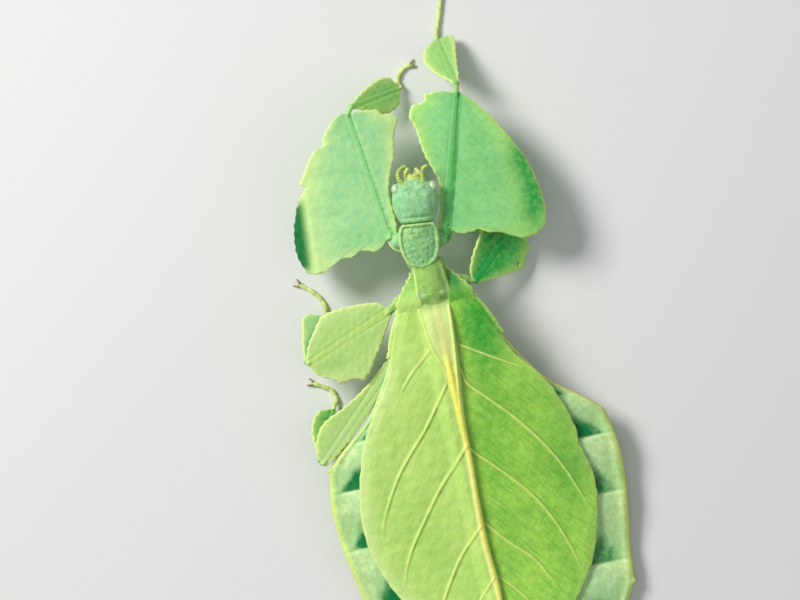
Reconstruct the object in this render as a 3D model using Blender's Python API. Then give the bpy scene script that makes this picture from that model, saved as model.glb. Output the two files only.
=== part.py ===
"""A female giant leaf insect at life size, standing on six feet and on the keel of its abdomen.

X points to the insect's left, the head faces -Y, Z is up and the floor is z = 0. Lengths are in
millimetres and become metres as each mesh is made. The numbers in a leg's outline are (share of the
segment's length, reach sideways in millimetres), and TOOTH marks a sharp point of an edge.
"""

import math

import bmesh
import bpy
import numpy as np
from mathutils import Matrix, Vector
from mathutils.geometry import delaunay_2d_cdt

MM = 0.001
GAP = 0.3
MEMBRANE = 0.6
TOOTH = "tooth"
OUTLINE_STEP = 1.9
SERRATION_STEP = 1.15
SERRATION = 0.2
HEM_SLOPE = 0.9
FILL_STEP = 3.4
CENTRE = (0.36, 13.22)

# The body, from the joint between head and thorax backwards
FRONT_PIVOT = (0.9, -7.5)
FRONT_YAW = math.radians(-7.2)
NECK_BACK = 0.2
MESOTHORAX_FRONT = -8.6
MESOTHORAX_BACK = -1.1
METATHORAX_BACK = 7.9
ABDOMEN_TIP = 79.0
SEGMENT_ENDS = (12.6, 21.0, 29.4, 40.1, 52.5, 63.0, 69.0, 73.6)
BODY_HEIGHT_STATIONS = (
    (-26, 11.4), (-15, 11.2), (-7, 10.8), (0, 10.0), (10, 8.7), (25, 6.3),
    (40, 4.3), (50, 3.4), (60, 3.3), (70, 3.9), (80, 5.0),
)
ABDOMEN_HALF_WIDTHS = (
    (7.9, 10.4), (13.8, 13.9), (17.8, 17.0), (20.9, 20.9), (23.0, 23.5), (24.9, 25.2), (27.0, 25.8),
    (33.5, 26.6), (39.6, 26.2), (45.0, 25.4), (50.9, 24.4), (56.8, 23.6), (59.7, 22.0), (63.0, 19.4),
    (66.4, 16.4), (69.6, 12.6), (73.0, 8.6), (76.4, 5.0), (ABDOMEN_TIP, 2.2),
)
ABDOMEN_SPURS = {24.9: 0.7, 56.8: 0.6, 63.0: 0.4, 69.6: 0.4, 73.0: 0.3}
KEEL_DEPTHS = ((7.9, 2.3), (20, 2.7), (35, 2.9), (47, 3.35), (57, 3.3), (63, 2.6), (72, 1.4), (79, 0.3))
KEEL_HALF_WIDTH = 7.5
CROWNS = ((7.9, 0.7), (16, 1.0), (62, 1.0), (74, 0.6), (79, 0.25))
MARGIN_DROOP = 0.7
FOLD_DEPTH = 0.45

# Sections of the head and thorax: (station, half width, top, bottom), heights from the body's middle
HEAD_SECTIONS = (
    (-8.0, 2.9, 1.9, -2.1), (-8.5, 3.35, 2.3, -2.5), (-10.0, 3.95, 2.7, -2.9), (-11.8, 4.2, 2.8, -3.0),
    (-13.3, 3.95, 2.5, -2.9), (-14.5, 3.4, 1.9, -2.6), (-15.3, 2.7, 1.2, -2.2), (-15.8, 2.1, 0.6, -1.7),
)
PRONOTUM_SECTIONS = (
    (NECK_BACK, 2.4, 1.8, -2.0), (-0.8, 2.8, 2.2, -2.4), (-2.2, 3.1, 2.4, -2.6), (-4.0, 3.5, 2.5, -2.8),
    (-5.9, 3.6, 2.5, -2.7), (-7.2, 3.3, 2.3, -2.4), (-7.7, 2.95, 1.9, -2.1),
)
MESOTHORAX_SECTIONS = (
    (MESOTHORAX_FRONT, 3.05, 2.1, -2.4), (-6.4, 3.05, 2.35, -2.6), (-4.4, 3.2, 2.45, -2.7),
    (-2.4, 3.6, 2.4, -2.7), (MESOTHORAX_BACK, 4.1, 2.3, -2.5),
)
METATHORAX_SECTIONS = (
    (MESOTHORAX_BACK + GAP, 4.2, 0.8, -2.4), (2.0, 5.0, 0.85, -2.6), (5.0, 6.2, 0.9, -2.7),
    (METATHORAX_BACK - GAP, 7.4, 0.95, -2.4),
)
SHIELD_OUTLINE = (
    (2.8, -7.55, TOOTH), (3.45, -6.4), (3.7, -4.6), (3.4, -2.4), (2.6, -0.6), (2.2, NECK_BACK, TOOTH),
    (-2.2, NECK_BACK, TOOTH), (-2.6, -0.6), (-3.4, -2.4), (-3.7, -4.6), (-3.45, -6.4), (-2.8, -7.55, TOOTH),
)
MESOTHORAX_FLANGE = (
    (2.4, -7.4, TOOTH), (3.5, -6.7, TOOTH), (3.7, -6.0), (4.4, -5.6, TOOTH), (4.6, -4.9), (5.3, -4.5, TOOTH),
    (5.5, -3.7), (6.3, -3.3, TOOTH), (6.5, -2.4), (7.1, -1.9, TOOTH), (7.0, MESOTHORAX_BACK, TOOTH),
    (2.4, MESOTHORAX_BACK, TOOTH),
)
METATHORAX_FLANGE = (
    (3.4, MESOTHORAX_BACK + GAP, TOOTH), (7.3, MESOTHORAX_BACK + GAP, TOOTH), (8.0, 0.7), (8.9, 2.4),
    (9.7, 4.1), (10.4, 6.0), (11.0, 7.3, TOOTH), (10.5, METATHORAX_BACK - GAP, TOOTH),
    (3.4, METATHORAX_BACK - GAP, TOOTH),
)
EYE_PLACE = (3.35, -14.0, 0.75)
EYE_SIZE = (0.75, 0.95, 0.9)
ANTENNA_LEFT = (
    (1.9, -14.6, 1.0), (2.6, -15.9, 1.1), (2.5, -17.0, 1.1), (1.75, -17.8, 1.0), (1.0, -17.9, 0.9),
)
ANTENNA_RIGHT = (
    (-1.9, -14.6, 1.0), (-1.7, -15.8, 1.2), (-1.7, -16.8, 1.2), (-2.2, -17.5, 1.1), (-3.0, -17.7, 1.0),
)
ANTENNA_JOINTS = 9
LABRUM_SIZE = (1.25, 0.9, 0.8)
PALPS = (
    ((0.95, -15.2, -0.9), (1.25, -16.4, -0.9), (1.0, -17.2, -1.2), (0.6, -17.5, -1.6)),
    ((-0.95, -15.2, -0.9), (-1.2, -16.3, -0.8), (-0.9, -17.1, -1.1), (-0.5, -17.4, -1.5)),
)

# Wing covers: the outer edge is (half width, station), and a vein is a line of (x, station) points
WING_FRONT = MESOTHORAX_BACK + GAP
WING_RISES = ((-0.8, 1.5), (4.0, 1.6), (9.0, 1.85), (14.0, 1.95), (66.0, 1.95))
WING_CAMBER = 0.9
WING_HALF_WIDTH = 21.5
WING_OVERLAP_RISE = 1.1
OVERLAP_FROM, OVERLAP_TO = 4.2, 1.9
WING_LEFT_EDGE = (
    (-2.6, WING_FRONT, TOOTH), (6.4, WING_FRONT, TOOTH), (8.0, 2.0), (9.8, 6.6), (11.8, 11.5), (16.0, 17.6),
    (18.6, 22.4), (21.0, 29.6), (21.9, 36.6), (21.0, 43.4), (18.4, 50.0), (14.6, 55.8), (9.6, 61.4),
    (5.4, 64.8), (3.2, 65.2, TOOTH), (1.6, 61.8), (0.5, 57.0), (0.1, 52.0), (0.4, 45.0), (0.3, 38.0),
    (-0.2, 28.6), (-0.5, 21.0), (-1.5, 13.0), (-2.1, 7.0),
)
WING_RIGHT_EDGE = (
    (1.0, WING_FRONT, TOOTH), (1.0, 14.0), (1.1, 30.0), (1.2, 45.0), (0.8, 52.4), (0.0, 57.0), (-1.2, 61.8),
    (-2.9, 65.2, TOOTH), (-5.1, 64.8), (-9.4, 61.2), (-14.0, 56.0), (-17.6, 50.6), (-20.0, 43.6),
    (-20.9, 37.0), (-20.2, 32.4), (-19.5, 30.2, TOOTH), (-19.6, 27.4), (-18.4, 22.6), (-16.0, 17.2),
    (-11.8, 11.5), (-9.6, 6.6), (-7.8, 2.0), (-6.0, WING_FRONT, TOOTH),
)
MIDRIB = ((0.3, 8.6), (0.2, 14.0), (0.3, 21.4), (0.35, 28.6), (0.8, 36.0), (1.1, 43.0), (0.75, 52.0))
VEINS_LEFT = (
    (0.75, 0.5, MIDRIB),
    (0.5, 0.35, ((-1.9, 0.6), (-1.6, 6.0), (-1.0, 12.0), (0.25, 18.0))),
    (0.5, 0.35, ((3.3, 0.0), (2.7, 6.8), (1.8, 9.6), (1.2, 12.0), (1.5, 14.4))),
    (0.45, 0.3, ((3.0, 7.6), (7.0, 11.0), (10.2, 13.0))),
    (0.5, 0.35, ((1.5, 14.4), (3.9, 17.6), (7.0, 21.5), (10.8, 25.5), (14.2, 29.6), (18.0, 36.2))),
    (0.5, 0.35, ((0.4, 26.0), (3.1, 28.8), (7.0, 32.8), (10.6, 37.3), (14.1, 42.0), (16.6, 47.0))),
    (0.5, 0.35, ((1.2, 40.8), (5.4, 44.9), (8.6, 49.2), (11.4, 54.0))),
)
VEINS_RIGHT = (
    (0.45, 0.3, ((-3.0, 8.2), (-6.0, 10.2), (-10.4, 13.0))),
    (0.5, 0.35, ((-2.3, 15.0), (-5.6, 18.8), (-9.3, 23.0), (-12.8, 27.9), (-15.6, 33.0), (-18.0, 39.6))),
    (0.5, 0.35, ((-1.2, 28.0), (-4.5, 31.5), (-8.9, 36.8), (-12.0, 42.4), (-14.2, 49.0))),
    (0.5, 0.35, ((-0.9, 41.8), (-3.6, 45.1), (-7.2, 48.9), (-10.2, 55.2))),
)

# Leg lobes: each side as (share of length, reach), from the hip to the knee and back
FORE_FEMUR_LEFT = (
    ((0.02, 1.3), (-0.03, 1.8), (-0.05, 3.3), (-0.02, 5.0), (-0.01, 6.5), (-0.035, 7.9, TOOTH), (-0.02, 9.5),
     (-0.03, 11.2), (-0.065, 12.7, TOOTH), (-0.07, 14.4), (-0.04, 16.1, TOOTH), (0.11, 16.8), (0.26, 16.2),
     (0.40, 14.8), (0.50, 13.4, TOOTH), (0.575, 11.3, TOOTH), (0.61, 12.3, TOOTH), (0.74, 9.7),
     (0.81, 8.0, TOOTH), (0.83, 6.2), (0.89, 5.5, TOOTH), (0.98, 3.0), (1.015, 1.5, TOOTH)),
    ((0.99, -1.1, TOOTH), (0.98, -3.2), (0.945, -5.5, TOOTH), (0.905, -5.9), (0.89, -7.7, TOOTH),
     (0.83, -8.1, TOOTH), (0.73, -6.6), (0.59, -5.4), (0.45, -3.5), (0.33, -2.4), (0.20, -2.0), (0.07, -1.7)),
)
FORE_FEMUR_RIGHT = (
    ((0.05, -1.3), (0.02, -2.3), (0.035, -4.3, TOOTH), (0.06, -6.2), (0.042, -7.9, TOOTH), (0.053, -10.0),
     (0.03, -12.4, TOOTH), (0.027, -14.4), (0.053, -16.2, TOOTH), (0.126, -17.8, TOOTH), (0.237, -17.6),
     (0.35, -16.6), (0.45, -15.4), (0.565, -13.6), (0.65, -11.7), (0.75, -9.2), (0.84, -6.7), (0.91, -4.4),
     (0.985, -1.3, TOOTH)),
    ((0.99, 1.1, TOOTH), (0.995, 3.2, TOOTH), (0.963, 5.6, TOOTH), (0.91, 5.9), (0.876, 7.9, TOOTH),
     (0.80, 8.2, TOOTH), (0.74, 7.0), (0.65, 6.0), (0.56, 5.0), (0.47, 3.5), (0.38, 2.0), (0.24, 1.5),
     (0.10, 1.25)),
)
FORE_TIBIA_LEFT = (
    ((0.10, 0.7), (0.26, 1.5), (0.45, 2.2), (0.72, 2.8), (0.90, 2.4), (0.985, 1.0, TOOTH)),
    ((0.985, -0.8, TOOTH), (0.88, -2.1), (0.73, -2.5), (0.52, -2.2), (0.28, -1.1), (0.12, -0.7)),
)
FORE_TIBIA_RIGHT = (
    ((0.12, -0.8), (0.30, -1.3), (0.60, -2.1), (0.82, -2.8), (0.96, -2.5), (0.99, -0.9, TOOTH)),
    ((0.985, 1.0, TOOTH), (0.86, 3.0), (0.69, 3.7), (0.50, 3.3), (0.28, 2.2, TOOTH), (0.12, 0.9)),
)
MID_FEMUR = (
    ((0.03, -1.3), (0.07, -2.4), (0.27, -4.2), (0.51, -5.6), (0.63, -5.8, TOOTH), (0.76, -4.3), (0.87, -3.0),
     (0.985, -0.9, TOOTH)),
    ((0.99, 0.9, TOOTH), (0.985, 1.9, TOOTH), (0.94, 3.4), (0.86, 4.8), (0.83, 6.1, TOOTH), (0.69, 6.8),
     (0.60, 7.9, TOOTH), (0.48, 6.9), (0.26, 4.1), (0.08, 1.8)),
)
MID_TIBIA = (
    ((0.10, -0.7), (0.40, -1.0), (0.80, -1.0), (0.98, -0.7, TOOTH)),
    ((0.985, 1.1, TOOTH), (0.93, 2.8), (0.82, 3.4), (0.60, 2.8), (0.34, 1.8), (0.12, 0.8)),
)
HIND_FEMUR = (
    ((0.06, -0.9), (0.28, -1.3), (0.46, -2.0), (0.58, -2.8, TOOTH), (0.70, -3.8), (0.78, -4.0), (0.88, -3.2),
     (0.955, -1.9, TOOTH), (0.985, -0.9, TOOTH)),
    ((0.985, 0.8, TOOTH), (0.83, 1.3), (0.70, 1.5), (0.55, 1.6), (0.40, 1.5), (0.25, 1.3), (0.06, 0.9)),
)
HIND_TIBIA = (
    ((0.10, -0.7), (0.40, -1.0), (0.80, -1.0), (0.98, -0.7, TOOTH)),
    ((0.985, 0.9, TOOTH), (0.92, 2.2), (0.78, 3.0), (0.56, 2.9), (0.34, 2.0), (0.12, 0.8)),
)

# Legs: where each joint is; coxa is inside the thorax, toes run along the floor from the ankle
LEGS = {
    "fore_left": {
        "coxa": (2.0, -11.4, 9.6), "hip": (5.3, -13.4, 9.9), "knee": (7.8, -37.1, 9.4),
        "shin": (7.0, -38.2, 8.9), "ankle": (-2.0, -39.7, 1.7), "toes": (
            (-2.4, -41.0, 0.5), (-3.0, -42.3, 0.4), (-4.1, -43.2, 0.4), (-5.5, -43.5, 0.4)),
        "femur": FORE_FEMUR_LEFT, "tibia": FORE_TIBIA_LEFT, "mirror": 1, "roll": 0.0, "droop": 1.2,
        "shaft": (0.85, 0.55), "coxa_radius": 1.25, "hem": ((-0.09, 14.6), (0.56, 11.6)),
    },
    "fore_right": {
        "coxa": (-1.2, -10.6, 9.6), "hip": (-4.5, -11.9, 9.9), "knee": (-12.2, -36.5, 9.6),
        "shin": (-12.5, -37.8, 9.1), "ankle": (-11.1, -46.6, 1.7), "toes": (
            (-11.3, -48.2, 0.5), (-12.2, -50.6, 0.4), (-13.1, -53.0, 0.4), (-13.6, -54.6, 0.4)),
        "femur": FORE_FEMUR_RIGHT, "tibia": FORE_TIBIA_RIGHT, "mirror": 1, "roll": 0.0, "droop": 1.0,
        "shaft": (0.85, 0.55), "coxa_radius": 1.25,
    },
    "mid_left": {
        "coxa": (2.0, -4.0, 8.6), "hip": (8.3, -0.9, 8.0), "knee": (24.9, 5.2, 7.6),
        "shin": (25.2, 5.0, 5.7), "ankle": (20.4, -2.2, 1.6), "toes": (
            (19.6, -3.9, 0.5), (20.1, -5.7, 0.4), (21.4, -7.5, 0.4), (23.4, -9.2, 0.4)),
        "femur": MID_FEMUR, "tibia": MID_TIBIA, "mirror": 1, "roll": 0.0, "droop": 0.6,
        "shaft": (0.7, 0.5), "coxa_radius": 0.95,
    },
    "mid_right": {
        "coxa": (-2.0, -4.2, 8.6), "hip": (-7.6, -2.6, 7.8), "knee": (-18.2, -12.0, 3.7),
        "shin": (-18.2, -12.3, 2.1), "ankle": (-9.6, -11.9, 1.5), "toes": (
            (-8.3, -12.6, 0.5), (-7.6, -14.2, 0.4), (-7.7, -16.4, 0.4), (-8.2, -18.2, 0.4)),
        "femur": MID_FEMUR, "tibia": MID_TIBIA, "mirror": -1, "roll": 30.0, "droop": 0.4,
        "shaft": (0.7, 0.5), "coxa_radius": 0.95, "reach": 0.85, "holes": ((0.56, 6.2, 0.45),),
    },
    "hind_left": {
        "coxa": (3.6, 4.4, 7.7), "hip": (9.0, 7.4, 6.15), "knee": (26.4, 23.5, 6.15),
        "shin": (26.8, 23.0, 4.3), "ankle": (22.5, 14.6, 1.6), "toes": (
            (21.4, 12.6, 0.5), (21.9, 10.9, 0.4), (23.3, 9.8, 0.4), (25.0, 8.8, 0.4)),
        "femur": HIND_FEMUR, "tibia": HIND_TIBIA, "mirror": 1, "roll": 0.0, "droop": 0.4,
        "shaft": (0.65, 0.5), "coxa_radius": 0.95,
    },
    "hind_right": {
        "coxa": (-3.6, 4.4, 7.7), "hip": (-9.0, 7.4, 5.8), "knee": (-17.0, 29.4, 3.75),
        "shin": (-17.3, 29.2, 1.9), "ankle": (-14.4, 19.8, 1.4), "toes": (
            (-13.9, 18.2, 0.5), (-13.2, 16.4, 0.4), (-12.2, 14.6, 0.4), (-11.0, 13.0, 0.4)),
        "femur": HIND_FEMUR, "tibia": HIND_TIBIA, "mirror": -1, "roll": 0.0, "droop": 0.3,
        "shaft": (0.65, 0.5), "coxa_radius": 0.95, "reach": 0.8,
    },
}
TARSUS_JOINTS = 5
TARSUS_RADIUS = 0.5
CLAW_LENGTH = 1.1

# Finishes: colour, roughness
LEAF_GREEN = ((0.42, 0.62, 0.16), 0.5)
BLUE_GREEN = ((0.27, 0.55, 0.22), 0.5)
PALE_GREEN = ((0.50, 0.66, 0.25), 0.5)
CREAM = ((0.80, 0.80, 0.62), 0.35)
YELLOW = ((0.66, 0.68, 0.22), 0.5)


def smooth_profile(stations):
    """A smooth function of one number through (position, value) stations, with no overshoot."""
    at, value = np.array([s[:2] for s in stations], float).T
    rise = np.diff(value) / np.diff(at)
    slope = np.concatenate([[rise[0]], (rise[:-1] + rise[1:]) / 2, [rise[-1]]])
    turns = np.concatenate([[False], rise[:-1] * rise[1:] <= 0, [False]])
    slope[turns] = 0.0

    def profile(x):
        x = min(max(x, at[0]), at[-1])
        i = min(max(int(np.searchsorted(at, x)) - 1, 0), len(at) - 2)
        span = at[i + 1] - at[i]
        t = (x - at[i]) / span
        start, end = 2 * t**3 - 3 * t**2 + 1, 3 * t**2 - 2 * t**3
        leave, arrive = t**3 - 2 * t**2 + t, t**3 - t**2
        return start * value[i] + end * value[i + 1] + span * (leave * slope[i] + arrive * slope[i + 1])

    return profile


def ease(x, start, end):
    """0 at start, 1 at end, and smooth between."""
    t = min(max((x - start) / (end - start), 0.0), 1.0)
    return t * t * (3 - 2 * t)


body_height = smooth_profile(BODY_HEIGHT_STATIONS)
abdomen_half_width = smooth_profile(ABDOMEN_HALF_WIDTHS)
keel_depth = smooth_profile(KEEL_DEPTHS)
crown_height = smooth_profile(CROWNS)
wing_rise = smooth_profile(WING_RISES)


def flowing_line(points, step):
    """Points about one step apart on a smooth line through the given ones."""
    p = [Vector(q) for q in points]
    padded = [2 * p[0] - p[1], *p, 2 * p[-1] - p[-2]]
    line = []
    for a, b, c, d in zip(padded, padded[1:], padded[2:], padded[3:]):
        count = max(1, round((c - b).length / step))
        for i in range(count):
            t = i / count
            square, cube = (2 * a - 5 * b + 4 * c - d) * t**2, (3 * b - a - 3 * c + d) * t**3
            line.append(0.5 * (2 * b + (c - a) * t + square + cube))
    return [*line, p[-1]]


def toothed_outline(points, step):
    """A closed outline that flows between its teeth and turns sharply at each."""
    first = next(i for i, p in enumerate(points) if TOOTH in p)
    ring = [*points[first:], *points[: first + 1]]
    outline, run = [], []
    for p in ring:
        run.append(p[:2])
        if TOOTH in p and len(run) > 1:
            outline += flowing_line(run, step)[:-1]
            run = [p[:2]]
    return outline


def serrated(outline, clear):
    """The outline with every second point pushed out a little, except within clear of the middle line."""
    moved = [p.copy() for p in outline]
    for i in range(1, len(outline), 2):
        if abs(outline[i].y) > clear:
            along = outline[(i + 1) % len(outline)] - outline[i - 1]
            out = Vector((along.y, -along.x)).normalized() * SERRATION
            if inside(outline[i] + out, outline):
                out.negate()
            moved[i] += out
    return moved


def inside(p, outline):
    """True if the point is inside the closed outline."""
    found = False
    for a, b in zip(outline, [*outline[1:], outline[0]]):
        if (a.y > p.y) != (b.y > p.y) and p.x < a.x + (p.y - a.y) * (b.x - a.x) / (b.y - a.y):
            found = not found
    return found


def distance_to(p, line):
    """Shortest distance from a point to a line of points."""
    best = math.inf
    for a, b in zip(line, line[1:]):
        along = b - a
        t = min(max((p - a).dot(along) / along.length_squared, 0.0), 1.0)
        best = min(best, (p - a - along * t).length)
    return best


def beside(line, offset):
    """The line moved sideways by an offset, in its own plane."""
    moved = []
    for i, p in enumerate(line):
        along = line[min(i + 1, len(line) - 1)] - line[max(i - 1, 0)]
        moved.append(p + Vector((-along.y, along.x)).normalized() * offset)
    return moved


def leaf_mesh(outline, lines, top, bottom, fill_step, holes=()):
    """A closed sheet over a flat outline. Both faces are triangulated alike, with edges along the lines."""
    points, edges = [], []
    paths = [(outline, True), *((hole, True) for hole in holes), *((line, False) for line in lines)]
    for path, closed in paths:
        start, count = len(points), len(path)
        points.extend(path)
        edges.extend((start + i, start + (i + 1) % count) for i in range(count if closed else count - 1))
    low = Vector((min(p.x for p in outline), min(p.y for p in outline)))
    high = Vector((max(p.x for p in outline), max(p.y for p in outline)))
    row_step = fill_step * math.sqrt(3) / 2
    for row in range(int((high.y - low.y) / row_step) + 1):
        for column in range(int((high.x - low.x) / fill_step) + 2):
            p = low + Vector(((column + row % 2 / 2) * fill_step, row * row_step))
            if inside(p, outline) and min((p - q).length for q in points) > 0.62 * fill_step:
                points.append(p)
    flat, _, faces, *_ = delaunay_2d_cdt(points, edges, [], 1, 1e-3)
    bm = bmesh.new()
    verts = [bm.verts.new((p.x, p.y, top(p.x, p.y))) for p in flat]
    for face in faces:
        middle = (flat[face[0]] + flat[face[1]] + flat[face[2]]) / 3
        if not any(inside(middle, hole) for hole in holes):
            bm.faces.new([verts[i] for i in face])
    lower = bmesh.ops.extrude_face_region(bm, geom=bm.faces[:], use_keep_orig=True)["geom"]
    for v in lower:
        if isinstance(v, bmesh.types.BMVert):
            v.co.z = bottom(v.co.x, v.co.y)
    return bm


def section_ring(bm, half_width, top, bottom, y, sides, squareness=2.3):
    """One ring of a lofted body: a squarish oval across the body at station y."""
    middle, half_height = (top + bottom) / 2, (top - bottom) / 2
    ring = []
    for i in range(sides):
        angle = 2 * math.pi * i / sides
        c, s = math.cos(angle), math.sin(angle)
        x = math.copysign(abs(c) ** (2 / squareness), c) * half_width
        z = math.copysign(abs(s) ** (2 / squareness), s) * half_height
        ring.append(bm.verts.new((x, y, middle + z)))
    return ring


def loft_mesh(sections, lift, sides=16, grow=0.0):
    """A closed body through cross sections (station, half width, top, bottom), raised by lift(station)."""
    bm = bmesh.new()
    ahead = math.copysign(grow, sections[0][0] - sections[-1][0])
    rings = []
    for i, (y, w, t, b) in enumerate(sections):
        station = y + ahead * ((i == 0) - (i == len(sections) - 1))
        rings.append(section_ring(bm, w + grow, t + grow + lift(y), b - grow + lift(y), station, sides))
    bm.faces.new(rings[0])
    for near, far in zip(rings, rings[1:]):
        for i in range(sides):
            j = (i + 1) % sides
            bm.faces.new((near[i], near[j], far[j], far[i]))
    bm.faces.new(rings[-1][::-1])
    return bm


def make_object(name, bm, place=None):
    """An object from a mesh in millimetres, with its faces pointing out."""
    bmesh.ops.remove_doubles(bm, verts=bm.verts, dist=1e-4)
    bmesh.ops.recalc_face_normals(bm, faces=bm.faces)
    bmesh.ops.scale(bm, vec=(MM, MM, MM), verts=bm.verts)
    mesh = bpy.data.meshes.new(name)
    bm.to_mesh(mesh)
    bm.free()
    obj = bpy.data.objects.new(name, mesh)
    if place is not None:
        obj.matrix_world = place
    INSECT.objects.link(obj)
    return obj


def tube(name, points, radii, place=None):
    """A round tube along a line of points, with a radius at each, as a closed mesh."""
    curve = bpy.data.curves.new(name, "CURVE")
    curve.dimensions = "3D"
    curve.bevel_depth = MM
    curve.bevel_resolution = 2
    curve.use_fill_caps = True
    spline = curve.splines.new("POLY")
    spline.points.add(len(points) - 1)
    for target, p, r in zip(spline.points, points, radii):
        target.co = (p[0] * MM, p[1] * MM, p[2] * MM, 1.0)
        target.radius = r
    guide = bpy.data.objects.new(name + "_line", curve)
    bpy.context.scene.collection.objects.link(guide)
    bpy.context.view_layer.update()
    mesh = bpy.data.meshes.new_from_object(guide.evaluated_get(bpy.context.evaluated_depsgraph_get()))
    bpy.data.objects.remove(guide)
    bm = bmesh.new()
    bm.from_mesh(mesh)
    bpy.data.meshes.remove(mesh)
    bmesh.ops.scale(bm, vec=(1 / MM, 1 / MM, 1 / MM), verts=bm.verts)
    return make_object(name, bm, place)


def ball(name, centre, size, place=None):
    """An oval ball of the given half sizes."""
    bm = bmesh.new()
    bmesh.ops.create_uvsphere(bm, u_segments=12, v_segments=8, radius=1.0)
    bmesh.ops.scale(bm, vec=size, verts=bm.verts)
    bmesh.ops.translate(bm, vec=centre, verts=bm.verts)
    return make_object(name, bm, place)


def keep_largest(bm):
    """Leaves only the largest closed surface of a mesh."""
    loose = set(bm.faces)
    surfaces = []
    while loose:
        patch, edge_faces = set(), [loose.pop()]
        while edge_faces:
            face = edge_faces.pop()
            patch.add(face)
            for edge in face.edges:
                for other in edge.link_faces:
                    if other in loose:
                        loose.remove(other)
                        edge_faces.append(other)
        surfaces.append(patch)
    surfaces.sort(key=lambda patch: sum(f.calc_area() for f in patch))
    scraps = [face for patch in surfaces[:-1] for face in patch]
    bmesh.ops.delete(bm, geom=scraps, context="FACES")


def apply_boolean(obj, operation, others):
    """Applies one Boolean with a collection of objects, then removes them."""
    group = bpy.data.collections.new(obj.name + "_tools")
    bpy.context.scene.collection.children.link(group)
    for other in others:
        for home in list(other.users_collection):
            home.objects.unlink(other)
        group.objects.link(other)
    cut = obj.modifiers.new(operation.lower(), "BOOLEAN")
    cut.operation = operation
    cut.operand_type = "COLLECTION"
    cut.collection = group
    cut.solver = "EXACT"
    bpy.context.view_layer.update()
    result = bpy.data.meshes.new_from_object(obj.evaluated_get(bpy.context.evaluated_depsgraph_get()))
    obj.modifiers.clear()
    obj.data = result
    for other in others:
        bpy.data.objects.remove(other)
    bpy.data.collections.remove(group)
    bm = bmesh.new()
    bm.from_mesh(obj.data)
    keep_largest(bm)
    bmesh.ops.triangulate(bm, faces=bm.faces)
    bm.to_mesh(obj.data)
    bm.free()
    return obj


def fuse(name, pieces):
    """One closed body made of overlapping pieces, with the first one's place."""
    whole = apply_boolean(pieces[0], "UNION", pieces[1:])
    whole.name = name
    return whole


def clear_of(obj, bodies):
    """Cuts an object back so that a gap is left round each body, given as (sections, lift, place)."""
    cutters = []
    for sections, lift, place in bodies:
        cutters.append(make_object("room", loft_mesh(sections, lift, 20, grow=GAP), place))
    return apply_boolean(obj, "DIFFERENCE", cutters)


def slice_off(obj, plane_point, plane_normal):
    """Cuts away what lies on the normal's side of a plane, and closes the cut."""
    bm = bmesh.new()
    bm.from_mesh(obj.data)
    geom = [*bm.verts, *bm.edges, *bm.faces]
    cut = bmesh.ops.bisect_plane(
        bm, geom=geom, dist=1e-7, plane_co=plane_point, plane_no=plane_normal, clear_outer=True
    )
    edges = [e for e in cut["geom_cut"] if isinstance(e, bmesh.types.BMEdge)]
    bmesh.ops.triangle_fill(bm, edges=edges, use_beauty=True)
    keep_largest(bm)
    bmesh.ops.recalc_face_normals(bm, faces=bm.faces)
    bm.to_mesh(obj.data)
    bm.free()
    return obj


def flatten_at_floor(obj):
    """Presses what is below the floor up to it, which leaves small flats to stand on."""
    for v in obj.data.vertices:
        v.co.z = max(v.co.z, 0.0)
    return obj


def finish(obj, look):
    """Gives an object its own material, and smooth shading but for its edges."""
    colour, roughness = look
    material = bpy.data.materials.new(obj.name)
    material.use_nodes = True
    shader = material.node_tree.nodes["Principled BSDF"]
    shader.inputs["Base Color"].default_value = (*colour, 1.0)
    shader.inputs["Roughness"].default_value = roughness
    shader.inputs["Metallic"].default_value = 0.0
    obj.data.materials.clear()
    obj.data.materials.append(material)
    obj.data.shade_smooth()
    obj.data.set_sharp_from_angle(angle=math.radians(40))
    return obj


def front_place():
    """Where the head and prothorax stand: turned a little to the insect's right about the neck."""
    pivot = Vector((*FRONT_PIVOT, 0.0)) * MM
    return Matrix.Translation(pivot) @ Matrix.Rotation(FRONT_YAW, 4, "Z")


def front_height(station):
    return body_height(station + FRONT_PIVOT[1])


def build_head():
    """The head, its eyes, antennae and mouthparts."""
    place = front_place()
    head = make_object("head", loft_mesh(HEAD_SECTIONS, front_height, 20), place)
    x, y, z = EYE_PLACE
    lift = front_height(y)
    grown = [e + GAP for e in EYE_SIZE]
    sockets = [ball("socket", (side * x, y, z + lift), grown, place) for side in (1, -1)]
    apply_boolean(head, "DIFFERENCE", sockets)
    for name, side in (("eye_left", 1), ("eye_right", -1)):
        finish(ball(name, (side * x, y, z + lift), EYE_SIZE, place), CREAM)
    skull = [(HEAD_SECTIONS, front_height, place)]
    for name, path in (("antenna_left", ANTENNA_LEFT), ("antenna_right", ANTENNA_RIGHT)):
        finish(clear_of(build_antenna(name, path, place), skull), YELLOW)
    finish(clear_of(build_mouthparts(place), skull), PALE_GREEN)
    finish(head, BLUE_GREEN)


def build_antenna(name, path, place):
    """A short thick antenna of nine bead-like joints."""
    line = flowing_line([(x, y, z + front_height(y)) for x, y, z in path], 0.1)
    count = 3 * ANTENNA_JOINTS
    points, radii = [], []
    for i in range(count + 1):
        share = i / count
        points.append(line[round(share * (len(line) - 1))])
        pinch = 0.72 if i % 3 == 0 else 1.0
        radii.append((0.42 - 0.14 * share) * pinch)
    return tube(name, points, radii, place)


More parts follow.
